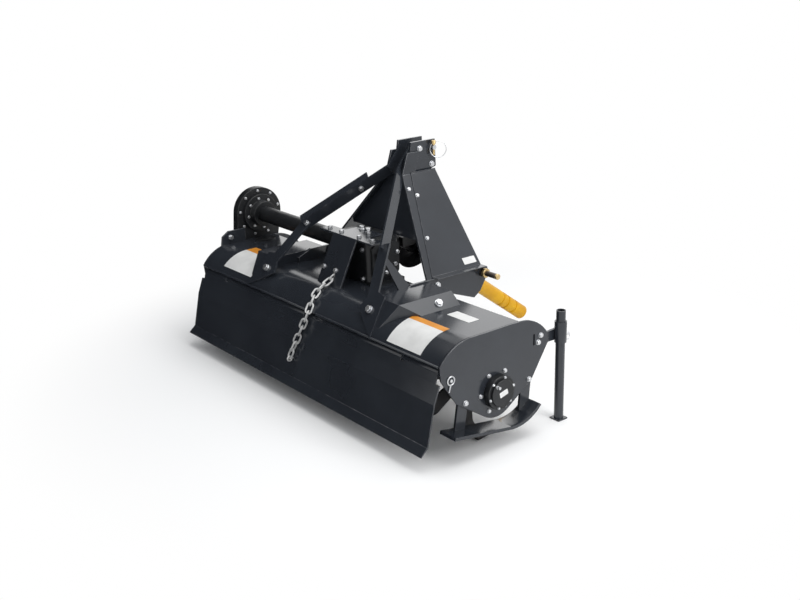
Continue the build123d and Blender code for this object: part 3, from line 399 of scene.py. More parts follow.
@dataclass(frozen=True)
class Seats:
    """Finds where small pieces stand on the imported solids."""

    datum: Datum
    reach: float = 22.0
    shortest_side: float = 0.1

    def on(self, place: Point, normal: Point, along: Point = (0.0, 1.0, 0.0)) -> Matrix:
        """Stand a piece on the solid under a place.

        Args:
            place: Millimetres from the rotor axis, near the seat.
            normal: The rough direction out of the seat.
            along: The direction that local X takes, as nearly as the seat allows.

        Returns:
            The matrix with its origin on the solid and local Z along the solid's normal.
        """
        out = Vector(normal).normalized()
        start = self.datum.at(*place) + out * self.reach * MM
        graph = bpy.context.evaluated_depsgraph_get()
        hit, spot, up, *_ = bpy.context.scene.ray_cast(graph, start, -out,
                                                       distance=2 * self.reach * MM)
        if not hit:
            raise ValueError(f"no solid under {place}")
        side = Vector(along) - up * up.dot(Vector(along))
        if side.length < self.shortest_side:
            side = UP - up * up.z
        side.normalize()
        turn = Matrix((side, up.cross(side), up)).transposed()
        return Matrix.Translation(spot) @ turn.to_4x4()


def finish_piece(name: str, shape: BMesh, finish: Finish, body: Body | None,
                 shading: Shading = Shading.SMOOTH) -> Object:
    """Turn a bmesh into a finished piece that rides on a body.

    Args:
        name: The piece's name.
        shape: Its mesh, in metres, which is freed.
        finish: The finish of its whole surface.
        body: The body it rides on, or None for no body.
        shading: How its faces are shaded.

    Returns:
        The new object.
    """
    bmesh.ops.recalc_face_normals(shape, faces=shape.faces)
    piece = new_object(name, shape, finish.material())
    if shading is Shading.SMOOTH:
        piece.data.shade_smooth()
        piece.data.set_sharp_from_angle(angle=SMOOTH_ANGLE)
    if body:
        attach(piece, body.value)
    LOG.info("%s: %d faces", name, len(piece.data.polygons))
    return piece


def add_disc(shape: BMesh, place: Matrix, radius: float, height: float, sides: int,
             chamfer: float = 0.0) -> None:
    """Add a round or many-sided slab that stands on a place's XY plane.

    Args:
        shape: The bmesh that gets it.
        place: Where its foot is, in metres.
        radius: Corner radius in millimetres.
        height: Height in millimetres.
        sides: Number of sides.
        chamfer: Rounding of the top edge in millimetres.
    """
    lift = place @ Matrix.Translation((0, 0, height * MM / 2))
    made = bmesh.ops.create_cone(shape, cap_ends=True, segments=sides, radius1=radius * MM,
                                 radius2=radius * MM, depth=height * MM, matrix=lift)
    if chamfer:
        inverse = place.inverted()
        top = {v for v in made["verts"] if (inverse @ v.co).z > height * MM / 2}
        rim = [e for e in {e for v in top for e in v.link_edges} if all(v in top for v in e.verts)]
        bmesh.ops.bevel(shape, geom=rim, offset=chamfer * MM, segments=EDGE_STEPS, profile=0.5,
                        affect="EDGES", material=-1)


def add_rod(shape: BMesh, start: Vector, end: Vector, radius: float, sides: int = ROD_SIDES,
            chamfer: float = 0.0) -> None:
    """Add a round rod between two places.

    Args:
        shape: The bmesh that gets it.
        start: One end, in metres.
        end: The other end, in metres.
        radius: Radius in millimetres.
        sides: Number of sides.
        chamfer: Rounding of the far end in millimetres.
    """
    axis = end - start
    turn = UP.rotation_difference(axis.normalized()).to_matrix().to_4x4()
    add_disc(shape, Matrix.Translation(start) @ turn, radius, axis.length / MM, sides, chamfer)


def add_ring(shape: BMesh, place: Matrix, radius: float, wire: float) -> None:
    """Add a closed wire ring about a place's Z axis.

    Args:
        shape: The bmesh that gets it.
        place: The ring's centre and axis, in metres.
        radius: Ring radius in millimetres.
        wire: Wire radius in millimetres.
    """
    stand = Matrix.Translation((radius * MM, 0, 0)) @ Matrix.Rotation(math.pi / 2, 4, "X")
    made = bmesh.ops.create_circle(shape, segments=WIRE_SIDES, radius=wire * MM,
                                   matrix=place @ stand)
    loop = list({e for v in made["verts"] for e in v.link_edges})
    bmesh.ops.spin(shape, geom=list(made["verts"]) + loop, cent=place.translation,
                   axis=place.to_3x3() @ UP, angle=2 * math.pi, steps=RING_STEPS, use_merge=True)


def add_link(shape: BMesh, place: Matrix, length: float, inner: float, wire: float) -> None:
    """Add a chain link in a place's XZ plane, its length along local Z.

    Args:
        shape: The bmesh that gets it.
        place: The link's middle, in metres.
        length: Inner length in millimetres.
        inner: Half of the inner width in millimetres.
        wire: Wire radius in millimetres.
    """
    run = (length / 2 - inner) * MM
    start = place @ Matrix.Translation(((inner + wire) * MM, 0, -run))
    made = bmesh.ops.create_circle(shape, segments=WIRE_SIDES, radius=wire * MM, matrix=start)
    ring = list(made["verts"]) + list({e for v in made["verts"] for e in v.link_edges})
    axis = place.to_3x3() @ Vector((0, -1, 0))
    for side in (1, -1):
        step = place.to_3x3() @ Vector((0, 0, 2 * side * run))
        straight = bmesh.ops.spin(shape, geom=ring, cent=place.translation, axis=axis, dvec=step,
                                  angle=0.0, steps=1)
        bend = bmesh.ops.spin(shape, geom=straight["geom_last"],
                              cent=place @ Vector((0, 0, side * run)), axis=axis, angle=math.pi,
                              steps=LINK_BEND_STEPS)
        ring = bend["geom_last"]


def add_plate(shape: BMesh, place: Matrix, width: float, height: float, thickness: float,
              corner: float) -> None:
    """Add a thin plate with rounded corners that lies on a place's XY plane.

    Args:
        shape: The bmesh that gets it.
        place: The middle of its underside, in metres.
        width: Size along local X in millimetres.
        height: Size along local Y in millimetres.
        thickness: Thickness in millimetres.
        corner: Corner radius in millimetres.
    """
    size = Matrix.Diagonal((width * MM, height * MM, 1.0, 1.0))
    made = bmesh.ops.create_grid(shape, x_segments=1, y_segments=1, size=0.5, matrix=place @ size)
    rounded = bmesh.ops.bevel(shape, geom=made["verts"], offset=corner * MM, segments=CORNER_STEPS,
                              profile=0.5, affect="VERTICES", material=-1)
    faces = list({f for v in rounded["verts"] for f in v.link_faces})
    raised = bmesh.ops.extrude_face_region(shape, geom=faces, use_keep_orig=True)
    moved = [v for v in raised["geom"] if isinstance(v, BMVert)]
    bmesh.ops.translate(shape, verts=moved, vec=place.to_3x3() @ UP * thickness * MM)


@dataclass(frozen=True)
class Tier:
    """One slab of a stacked fitting, in millimetres."""

    lift: float
    radius: float
    height: float
    sides: int


def add_stack(shape: BMesh, place: Matrix, tiers: Iterable[Tier], chamfer: float) -> None:
    """Add slabs that stand one on another.

    Args:
        shape: The bmesh that gets them.
        place: Where the lowest one's foot is, in metres.
        tiers: The slabs.
        chamfer: Rounding of their top edges in millimetres.
    """
    for tier in tiers:
        seat = place @ Matrix.Translation((0, 0, tier.lift * MM))
        add_disc(shape, seat, tier.radius, tier.height, tier.sides, chamfer)


@dataclass(frozen=True)
class BoltSize:
    """A hexagon head on its washer, in millimetres."""

    corner: float
    head: float
    washer: float
    washer_t: float
    rounding: float = 1 / 5

    def add(self, shape: BMesh, place: Matrix) -> None:
        """Add one head and washer that stand on a place's XY plane.

        Args:
            shape: The bmesh that gets them.
            place: The washer's foot, in metres.
        """
        add_disc(shape, place, self.washer, self.washer_t, WASHER_SIDES)
        seat = place @ Matrix.Translation((0, 0, self.washer_t * MM))
        add_disc(shape, seat, self.corner, self.head, HEX_SIDES, chamfer=self.head * self.rounding)


class Bolt(Enum):
    """The bolt sizes on the machine."""

    M5 = BoltSize(corner=4.6, head=3.5, washer=5.2, washer_t=0.8)
    M6 = BoltSize(corner=5.8, head=4.2, washer=6.4, washer_t=1.2)
    M8 = BoltSize(corner=7.4, head=5.3, washer=8.2, washer_t=1.4)
    M10 = BoltSize(corner=9.2, head=6.4, washer=10.2, washer_t=1.6)
    M12 = BoltSize(corner=10.6, head=7.5, washer=12.0, washer_t=2.0)
    M16 = BoltSize(corner=13.4, head=10.0, washer=15.0, washer_t=2.5)


@dataclass(frozen=True)
class BoltRow:
    """Like bolts on faces that look the same way."""

    size: Bolt
    normal: Point
    places: tuple[Point, ...]

    def both(self) -> list[BoltRow]:
        """Mirror the row.

        Returns:
            The row and its image on the machine's other side.
        """
        x, y, z = self.normal
        places = tuple((-px, py, pz) for px, py, pz in self.places)
        return [self, BoltRow(self.size, (-x, y, z), places)]


@dataclass(frozen=True)
class BoltCircle:
    """Like bolts round an axis along X."""

    size: Bolt
    normal_x: float
    x: float
    centre: tuple[float, float]
    radius: float
    count: int
    first_deg: float = 0.0

    def row(self) -> BoltRow:
        """Lay out the circle.

        Returns:
            Its bolts as a row.
        """
        places = []
        for k in range(self.count):
            turn = math.radians(self.first_deg + 360 * k / self.count)
            places.append((self.x, self.centre[0] + self.radius * math.cos(turn),
                           self.centre[1] + self.radius * math.sin(turn)))
        return BoltRow(self.size, (self.normal_x, 0, 0), tuple(places))


@dataclass
class Steelwork:
    """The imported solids: their finishes, and soft edges on the plates and castings."""

    datum: Datum
    edge: float = 1.6
    thin_edge: float = 0.8
    merge_angle: float = math.radians(0.5)
    edge_angle: float = math.radians(28)
    flat_angle: float = math.radians(0.6)
    facet: float = 30.0
    joint: Point = (0.0, 252.0, 340.0)
    droop: float = math.radians(36)
    cone_end: float = 131.0
    thin: tuple[str, ...] = (
        "shield_right", "shield_left", "frame_panel", "saddle_right", "saddle_left")
    crisp: tuple[str, ...] = (
        "deck_shell", "hinge_lugs", "cross_shaft_tube", "input_yoke", "driveline_yoke",
        "parking_stand")

    def dress(self, frame: Frame) -> None:
        """Give every node its finish and swap the plates for copies with soft edges.
        """
        finishes = {node: finish for finish, nodes in NODE_FINISHES.items() for node in nodes}
        parts = frame["record"]["behaviour"]["bodies"]
        bodies = {node: Body(body) for body, nodes in parts.items() for node in nodes}
        for node, solid in frame["nodes"].items():
            finish = finishes.get(node, CHARCOAL)
            solid.data.materials.clear()
            solid.data.materials.append(finish.material())
            if finish.worn and node not in self.crisp:
                self.soften(node, solid, finish, bodies[node])
        self.guard(frame["nodes"]["driveline_guard"])

    def merged(self, solid: Object) -> BMesh:
        """Copy a solid's loose triangles into one closed mesh with whole flat faces.

        Args:
            solid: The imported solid.

        Returns:
            The closed mesh, in metres.
        """
        shape = bmesh.new()
        shape.from_mesh(solid.data)
        bmesh.ops.remove_doubles(shape, verts=shape.verts, dist=MERGE_M)
        bmesh.ops.dissolve_limit(shape, angle_limit=self.merge_angle, verts=shape.verts,
                                 edges=shape.edges)
        return shape

    def soften(self, node: str, solid: Object, finish: Finish, body: Body) -> None:
        """Make a copy of a solid with rounded, worn edges, which stands for it.

        Args:
            node: The solid's name.
            solid: The solid's object.
            finish: The copy's finish.
            body: The body that the copy rides on.
        """
        shape = self.merged(solid)
        worn = shape.faces.layers.float.new(WEAR)
        sharp = []
        for face in shape.faces:
            face.smooth = False
        for edge in shape.edges:
            if len(edge.link_faces) != 2:
                continue
            angle = edge.calc_face_angle()
            if angle > self.edge_angle:
                sharp.append(edge)
            elif angle > self.flat_angle:
                length = edge.calc_length()
                if all(face.calc_area() < length * self.facet * MM for face in edge.link_faces):
                    for face in edge.link_faces:
                        face.smooth = True
        width = self.thin_edge if node in self.thin else self.edge
        made = bmesh.ops.bevel(shape, geom=sharp, offset=width * MM, segments=EDGE_STEPS,
                               profile=0.5, affect="EDGES", clamp_overlap=True, material=-1)
        for face in made["faces"]:
            face.smooth = True
            face[worn] = 1.0
        piece = finish_piece(f"{node}_soft", shape, finish, body, Shading.AS_BUILT)
        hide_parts(node)

    def guard(self, solid: Object) -> None:
        """Make the driveline guard with a black bell at the joint and a yellow tube.

        Args:
            solid: The guard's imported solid.
        """
        shape = self.merged(solid)
        centre = self.datum.at(*self.joint)
        axis = Vector((0, math.cos(self.droop), -math.sin(self.droop)))
        for face in shape.faces:
            reach = (face.calc_center_median() - centre).dot(axis)
            face.material_index = int(reach < self.cone_end * MM)
        piece = finish_piece("driveline_guard_moulding", shape, GUARD_YELLOW, Body.DRIVELINE)
        piece.data.materials.append(GUARD_BLACK.material())
        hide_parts("driveline_guard")


@dataclass
class Fasteners:
    """The bolts that hold the plates, hub, gearbox and chain case."""

    seats: Seats
    plate_x: float = 800.0
    hub: tuple[float, float] = (0.0, 0.0)
    hub_bolt_r: float = 76.0
    hub_face: float = 826.0
    hub_face_bolt_r: float = 56.0
    case_x: float = -800.0
    case_out: float = -848.0
    case_head: tuple[float, float] = (45.0, 340.0)
    case_rim_r: float = 99.0
    case_head_r: float = 96.0
    case_foot_r: float = 78.0
    flange_t: float = 16.0
    flange_bolt_r: float = 66.0
    cover_bolt_r: float = 52.0

    def circles(self) -> list[BoltRow]:
        """Lay out the bolts round the hub and the chain case.

        Returns:
            A row for each circle.
        """
        head, hub = self.case_head, self.hub
        flange_x = self.case_x + self.flange_t
        circles = (
            BoltCircle(Bolt.M8, 1.0, self.plate_x, hub, self.hub_bolt_r, 6),
            BoltCircle(Bolt.M5, 1.0, self.hub_face, hub, self.hub_face_bolt_r, 6, 15.0),
            BoltCircle(Bolt.M6, 1.0, self.case_x, head, self.case_rim_r, 9, 12.0),
            BoltCircle(Bolt.M6, 1.0, flange_x, head, self.flange_bolt_r, 8, 8.0),
            BoltCircle(Bolt.M8, -1.0, self.case_out, head, self.case_head_r, 7, 12.0),
            BoltCircle(Bolt.M8, -1.0, self.case_out, hub, self.case_foot_r, 5, 195.0),
        )
        return [circle.row() for circle in circles]

    def rows(self) -> list[BoltRow]:
        """Lay out the bolts on the plates, saddles, braces, shields and gearbox.

        Returns:
            The rows.
        """
        right, left = (1.0, 0.0, 0.0), (-1.0, 0.0, 0.0)
        rear, up = (0.0, -1.0, 0.0), (0.0, 0.0, 1.0)
        bracket = (0.0, -0.90, 0.44)
        foot = (0.0, -0.79, 0.61)
        brace = (0.84, -0.39, -0.39)
        shield = (0.78, 0.0, 0.62)
        saddle = (0.64, 0.0, 0.77)
        x = self.plate_x
        return [
            BoltRow(Bolt.M10, right, ((x, -146, -4), (x, 156, 0), (x, 212, 153), (x, 200, 129))),
            BoltRow(Bolt.M10, left, ((-x, -146, -4), (-x, 156, 0))),
            BoltRow(Bolt.M12, right, ((-792, -115, 254), (45, 291, 708), (45, 352, 639))),
            BoltRow(Bolt.M12, left, ((-45, 291, 708), (-45, 352, 639))),
            *BoltRow(Bolt.M12, right, ((340, 126, 249),)).both(),
            *BoltRow(Bolt.M16, saddle, ((502, -7, 247),)).both(),
            BoltRow(Bolt.M10, bracket, ((16, -115, 283), (-62, -115, 284))),
            BoltRow(Bolt.M16, foot, ((350, -203, 230), (-350, -203, 230))),
            BoltRow(Bolt.M12, foot, ((-250, -62, 412),)),
            *BoltRow(Bolt.M12, brace, ((-107, 111, 551),)).both(),
            *BoltRow(Bolt.M8, shield, ((117, 217, 543), (229, 170, 401), (94, 194, 567))).both(),
            BoltRow(Bolt.M10, rear, ((80, -30, 363), (79, -30, 245), (-80, -30, 363),
                                     (-79, -30, 245))),
            BoltRow(Bolt.M10, up, ((140, -25, 408), (-140, -25, 408), (58, -28, 408),
                                   (-58, -28, 408))),
        ]

    def build(self) -> None:
        """Make all the bolts on the frame as one joined piece."""
        shape = bmesh.new()
        low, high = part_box("gearbox_side_cover")
        middle = ((low + high) / 2 - self.seats.datum.rotor) / MM
        face = (high.x - self.seats.datum.rotor.x) / MM
        cover = BoltCircle(Bolt.M8, 1.0, face, (middle.y, middle.z), self.cover_bolt_r, 6, 30.0)
        for row in [*self.circles(), *self.rows(), cover.row()]:
            for place in row.places:
                row.size.value.add(shape, self.seats.on(place, row.normal))
        finish_piece("frame_bolts", shape, ZINC, Body.FRAME, Shading.FLAT)


@dataclass
class TineBolts:
    """The two bolts through the shank of every tine."""

    seats: Seats
    flange_count: int = 7
    tines: int = 6
    pitch: float = 215.0
    face: float = 11.0
    radii: tuple[float, float] = (63.0, 84.0)

    def build(self) -> None:
        """Make the bolts on the tines' outer faces, as one piece that turns with the rotor."""
        shape = bmesh.new()
        for i in range(self.flange_count):
            middle = self.pitch * (i - (self.flange_count - 1) / 2)
            for k in range(self.tines):
                side = -1.0 if (k + i) % 2 else 1.0
                turn = 2 * math.pi / self.tines * (k + i / self.flange_count)
                for radius in self.radii:
                    place = (middle + side * self.face, -radius * math.sin(turn),
                             radius * math.cos(turn))
                    Bolt.M10.value.add(shape, self.seats.on(place, (side, 0, 0)))
        finish_piece("tine_bolts", shape, FORGED_STEEL, Body.ROTOR, Shading.FLAT)


@dataclass
class Label:
    """A thin blank panel that follows the hood's rounded rear and flat top."""

    name: str
    x_low: float
    x_high: float
    low_deg: float
    high_deg: float
    flat: float
    finish: Finish

    bend_y: float = -120.0
    bend_z: float = 61.0
    bend_r: float = 167.0
    lift: float = 0.5
    fill: float = 0.8
    steps: int = 14

    def build(self, datum: Datum) -> None:
        """Sweep the panel up the curve and on along the flat top.

        Args:
            datum: The rotor axis.
        """
        shape = bmesh.new()
        low = math.radians(self.low_deg)
        radius = self.bend_r + self.lift
        start = (self.bend_y - radius * math.sin(low), self.bend_z + radius * math.cos(low))
        ends = [shape.verts.new(datum.at(x, *start)) for x in (self.x_low, self.x_high)]
        edge = shape.edges.new(ends)
        swept = bmesh.ops.spin(shape, geom=ends + [edge],
                               cent=datum.at(0, self.bend_y, self.bend_z), axis=(1, 0, 0),
                               angle=-math.radians(self.low_deg - self.high_deg),
                               steps=self.steps)
        if self.flat:
            last = [e for e in swept["geom_last"] if isinstance(e, BMEdge)]
            made = bmesh.ops.extrude_edge_only(shape, edges=last)
            moved = [v for v in made["geom"] if isinstance(v, BMVert)]
            bmesh.ops.translate(shape, verts=moved, vec=(0, self.flat * MM, 0))
        bmesh.ops.recalc_face_normals(shape, faces=shape.faces)
        bmesh.ops.solidify(shape, geom=shape.faces[:], thickness=self.lift * MM * self.fill)
        finish_piece(self.name, shape, self.finish, Body.FRAME)


@dataclass
class BlankPlate:
    """A small blank plate that lies on a flat face."""

    name: str
    place: Point
    normal: Point
    along: Point
    width: float
    height: float
    corner: float
    thickness: float = 0.8

    def build(self, seats: Seats) -> None:
        """Lay the plate on its face.

        Args:
            seats: What finds the face.
        """
        shape = bmesh.new()
        add_plate(shape, seats.on(self.place, self.normal, self.along), self.width, self.height,
                  self.thickness, self.corner)
        finish_piece(self.name, shape, WHITE_FILM, Body.FRAME, Shading.FLAT)


@dataclass
class HoodTrim:
    """The rolled rear edge of the hood and the oval plug beside the chain case."""

    seats: Seats
    edge_y: float = -257.5
    edge_z: float = 154.0
    bead_r: float = 5.0
    bead_rounding: float = 1.5
    runs: tuple[tuple[float, float], ...] = ((-791.0, 12.0), (78.0, 791.0))
    plug_at: Point = (-742.0, 30.0, 228.0)
    plug_half: tuple[float, float] = (34.0, 50.0)
    plug_height: float = 5.0
    plug_rim: float = 7.0
    plug_sides: int = 40

    def build(self) -> None:
        """Make the bead in two runs, clear of the chain, and the plug."""
        datum = self.seats.datum
        bead = bmesh.new()
        for low, high in self.runs:
            add_rod(bead, datum.at(low, self.edge_y, self.edge_z),
                    datum.at(high, self.edge_y, self.edge_z), self.bead_r,
                    chamfer=self.bead_rounding)
        finish_piece("hood_rolled_edge", bead, CHARCOAL, Body.FRAME)
        plug = bmesh.new()
        stretch = Matrix.Diagonal((*self.plug_half, 1.0, 1.0))
        place = self.seats.on(self.plug_at, (0, 0, 1), (1, 0, 0)) @ stretch
        made = bmesh.ops.create_circle(plug, cap_ends=True, segments=self.plug_sides, radius=MM,
                                       matrix=place)
        faces = list({f for v in made["verts"] for f in v.link_faces})
        top = bmesh.ops.extrude_face_region(plug, geom=faces, use_keep_orig=True)
        lid = [f for f in top["geom"] if isinstance(f, BMFace)]
        bmesh.ops.translate(plug, verts=lid[0].verts[:], vec=(0, 0, self.plug_height * MM))
        bmesh.ops.inset_region(plug, faces=lid, thickness=self.plug_rim * MM)
        bmesh.ops.translate(plug, verts=lid[0].verts[:], vec=(0, 0, -self.plug_height * MM / 2))
        finish_piece("hood_plug", plug, BLACK_CAST, Body.FRAME)


@dataclass(frozen=True)
class Fitting:
    """A fitting of stacked slabs that stands on a flat face."""

    place: Point
    normal: Point
    rounding: float
    tiers: tuple[Tier, ...]


FITTINGS: dict[str, tuple[Fitting, ...]] = {
    "hub_grease_nipple": (
        Fitting((834.0, -30.0, 32.0), (1.0, 0.0, 0.0), 1.0, (
            Tier(0.0, 7.0, 5.0, HEX_SIDES), Tier(5.0, 4.5, 6.0, 14), Tier(10.0, 5.5, 6.0, 14))),),
    "gearbox_plugs": (
        Fitting((36.0, 34.0, 400.0), (0.0, 0.0, 1.0), 1.5, (
            Tier(0.0, 12.0, 8.0, HEX_SIDES), Tier(8.0, 7.0, 8.0, 16), Tier(16.0, 11.0, 8.0, 20))),
        Fitting((-40.0, 60.0, 400.0), (0.0, 0.0, 1.0), 1.0, (
            Tier(0.0, 15.0, 3.0, 24), Tier(3.0, 12.0, 9.0, HEX_SIDES)))),
}


def build_fittings(seats: Seats) -> None:
    """Make the hub's grease nipple, and the gearbox's breather and filler plug.

    Args:
        seats: What finds the faces that they stand on.
    """
    for name, fittings in FITTINGS.items():
        shape = bmesh.new()
        for fitting in fittings:
            seat = seats.on(fitting.place, fitting.normal)
            add_stack(shape, seat, fitting.tiers, fitting.rounding)
        finish_piece(name, shape, ZINC, Body.FRAME)


@dataclass
class TailChain:
    """The chain from the gearbox bracket to the eye on the tailgate, its links turned aslant.

    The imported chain's last link stands over an earlier one, so it is dropped here and made in
    the eye instead.
    """

    datum: Datum
    wire: float = 3.7
    inner: float = 7.4
    slot_wire: float = 3.25
    slot_inner: float = 4.75
    slot_links: int = 2
    play: float = 0.6
    slant: float = math.radians(-45)
    slant_links: float = 2.0
    start: Point = (39.0, -261.0, 169.0)
    end: Point = (25.0, -283.0, 108.0)

    def middles(self, solid: Object) -> list[Vector]:
        """Find the links' middles, from the bracket down to the eye.

        Args:
            solid: The chain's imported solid.

        Returns:
            One middle for each link, in metres, the one in the eye last.
        """
        shape = bmesh.new()
        shape.from_mesh(solid.data)
        bmesh.ops.remove_doubles(shape, verts=shape.verts, dist=MERGE_M)
        left, found = dict.fromkeys(shape.verts), []
        while left:
            ring = [left.popitem()[0]]
            for vert in ring:
                for near in [edge.other_vert(vert) for edge in vert.link_edges]:
                    if near in left:
                        del left[near]
                        ring.append(near)
            found.append(sum((v.co for v in ring), Vector()) / len(ring))
        shape.free()
        found.sort(key=lambda middle: -middle.z)
        half = (found[1] - found[0]).length / 2
        kept = found[:1]
        for middle in found[1:]:
            if (middle - kept[-1]).length > half:
                kept.append(middle)
        return [*kept, 2 * kept[-1] - kept[-2]]

    def build(self, frame: Frame) -> None:
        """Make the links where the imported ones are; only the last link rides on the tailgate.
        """
        middles = self.middles(frame["nodes"]["tail_chain"])
        length = (middles[1] - middles[0]).length / MM + self.play
        last = len(middles) - 1
        run, end = bmesh.new(), bmesh.new()
        for k, middle in enumerate(middles):
            along = (middles[min(k + 1, last)] - middles[max(k - 1, 0)]).normalized()
            across = (Vector((1, 0, 0)) - along * along.x).normalized()
            turn = Matrix((across, along.cross(across), along)).transposed().to_4x4()
            ease = min((k - 1) / self.slant_links, (last - k) / self.slant_links)
            share = max(0.0, min(1.0, ease))
            roll = self.slant * share + math.pi / 2 * (k % 2)
            place = Matrix.Translation(middle) @ turn @ Matrix.Rotation(roll, 4, "Z")
            slotted = k < self.slot_links
            add_link(end if k == last else run, place, length,
                     self.slot_inner if slotted else self.inner,
                     self.slot_wire if slotted else self.wire)
        for shape in (run, end):
            bmesh.ops.remove_doubles(shape, verts=shape.verts, dist=MERGE_M)
        chain = finish_piece("tail_chain_links", run, CHAIN_ZINC, None)
        chain.data.shade_smooth()
        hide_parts("tail_chain")
        self.datum.at(*self.start)
        self.datum.at(*self.end)
        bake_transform(chain)
        finish_piece("tail_chain_end_link", end, CHAIN_ZINC, Body.TAILGATE)


@dataclass
class HitchTrim:
    """The lynch pin on the top-link pin, and the plated ends of the lower pins."""

    datum: Datum
    pin_at: Point = (61.0, 352.0, 707.0)
    pin_r: float = 4.5
    pin_up: float = 26.0
    pin_down: float = 30.0
    pin_rounding: float = 1.0
    head: Tier = Tier(14.0, 9.0, 14.0, 20)
    head_rounding: float = 3.0
    ring_centre: Point = (72.0, 366.0, 699.0)
    ring_normal: Point = (0.86, -0.50, 0.0)
    ring_r: float = 33.0
    wire: float = 1.5
    lower_pin: tuple[float, float] = (358.0, 250.0)
    collar: tuple[float, float, float] = (352.0, 364.0, 18.5)
    tip: tuple[float, float, float] = (420.0, 429.5, 11.5)
    collar_sides: int = 28
    collar_rounding: float = 1.5

    def build(self) -> None:
        """Make the lynch pin, its ring, and the collars and tips."""
        shape = bmesh.new()
        x, y, z = self.pin_at
        foot = self.datum.facing((x, y, z - self.pin_down), (0, 0, 1))
        add_disc(shape, foot, self.pin_r, self.pin_down + self.pin_up, ROD_SIDES,
                 self.pin_rounding)
        neck = self.datum.facing((x, y, z), (0, 0, 1))
        add_stack(shape, neck, (self.head,), self.head_rounding)
        for side in (1.0, -1.0):
            for low, high, radius in (self.collar, self.tip):
                add_rod(shape, self.datum.at(side * low, *self.lower_pin),
                        self.datum.at(side * high, *self.lower_pin), radius, self.collar_sides,
                        self.collar_rounding)
        finish_piece("hitch_pin_fittings", shape, YELLOW_ZINC, Body.FRAME)
        ring = bmesh.new()
        place = self.datum.facing(self.ring_centre, self.ring_normal)
        add_ring(ring, place, self.ring_r, self.wire)
        finish_piece("lynch_pin_ring", ring, ZINC, Body.FRAME)


@dataclass
class SpringClips:
    """The ring clip on the right end plate and the one on the stand's lock pin."""

    seats: Seats
    plate_at: Point = (800.0, -212.0, 98.0)
    stud: Tier = Tier(0.0, 6.0, 7.0, 16)
    stud_rounding: float = 1.5
    plate_ring: tuple[float, float] = (15.0, 2.6)
    plate_pin: tuple[Point, Point] = ((804.0, -214.0, 86.0), (803.0, -222.0, 58.0))
    plate_pin_r: float = 3.0
    plate_pin_rounding: float = 1.0
    stand_ring_at: Point = (806.0, 345.0, 119.0)
    stand_ring_normal: Point = (0.94, 0.0, 0.34)
    stand_ring: tuple[float, float] = (13.0, 2.0)

    def build(self) -> None:
        """Make both rings, and the stud and pin of the first."""
        datum = self.seats.datum
        shape = bmesh.new()
        seat = self.seats.on(self.plate_at, (1, 0, 0))
        add_stack(shape, seat, (self.stud,), self.stud_rounding)
        ring = seat @ Matrix.Translation((0, 0, self.plate_ring[1] * MM))
        add_ring(shape, ring, *self.plate_ring)
        start, end = (datum.at(*place) for place in self.plate_pin)
        add_rod(shape, start, end, self.plate_pin_r, PIN_SIDES, self.plate_pin_rounding)
        hung = datum.facing(self.stand_ring_at, self.stand_ring_normal)
        add_ring(shape, hung, *self.stand_ring)
        finish_piece("spring_clips", shape, ZINC, Body.FRAME)


@dataclass(frozen=True)
class Lamp:
    """A square area lamp, in metres and watts, aimed at the machine."""

    name: str
    place: Point
    size: float
    power: float
    lights_matt: bool = True


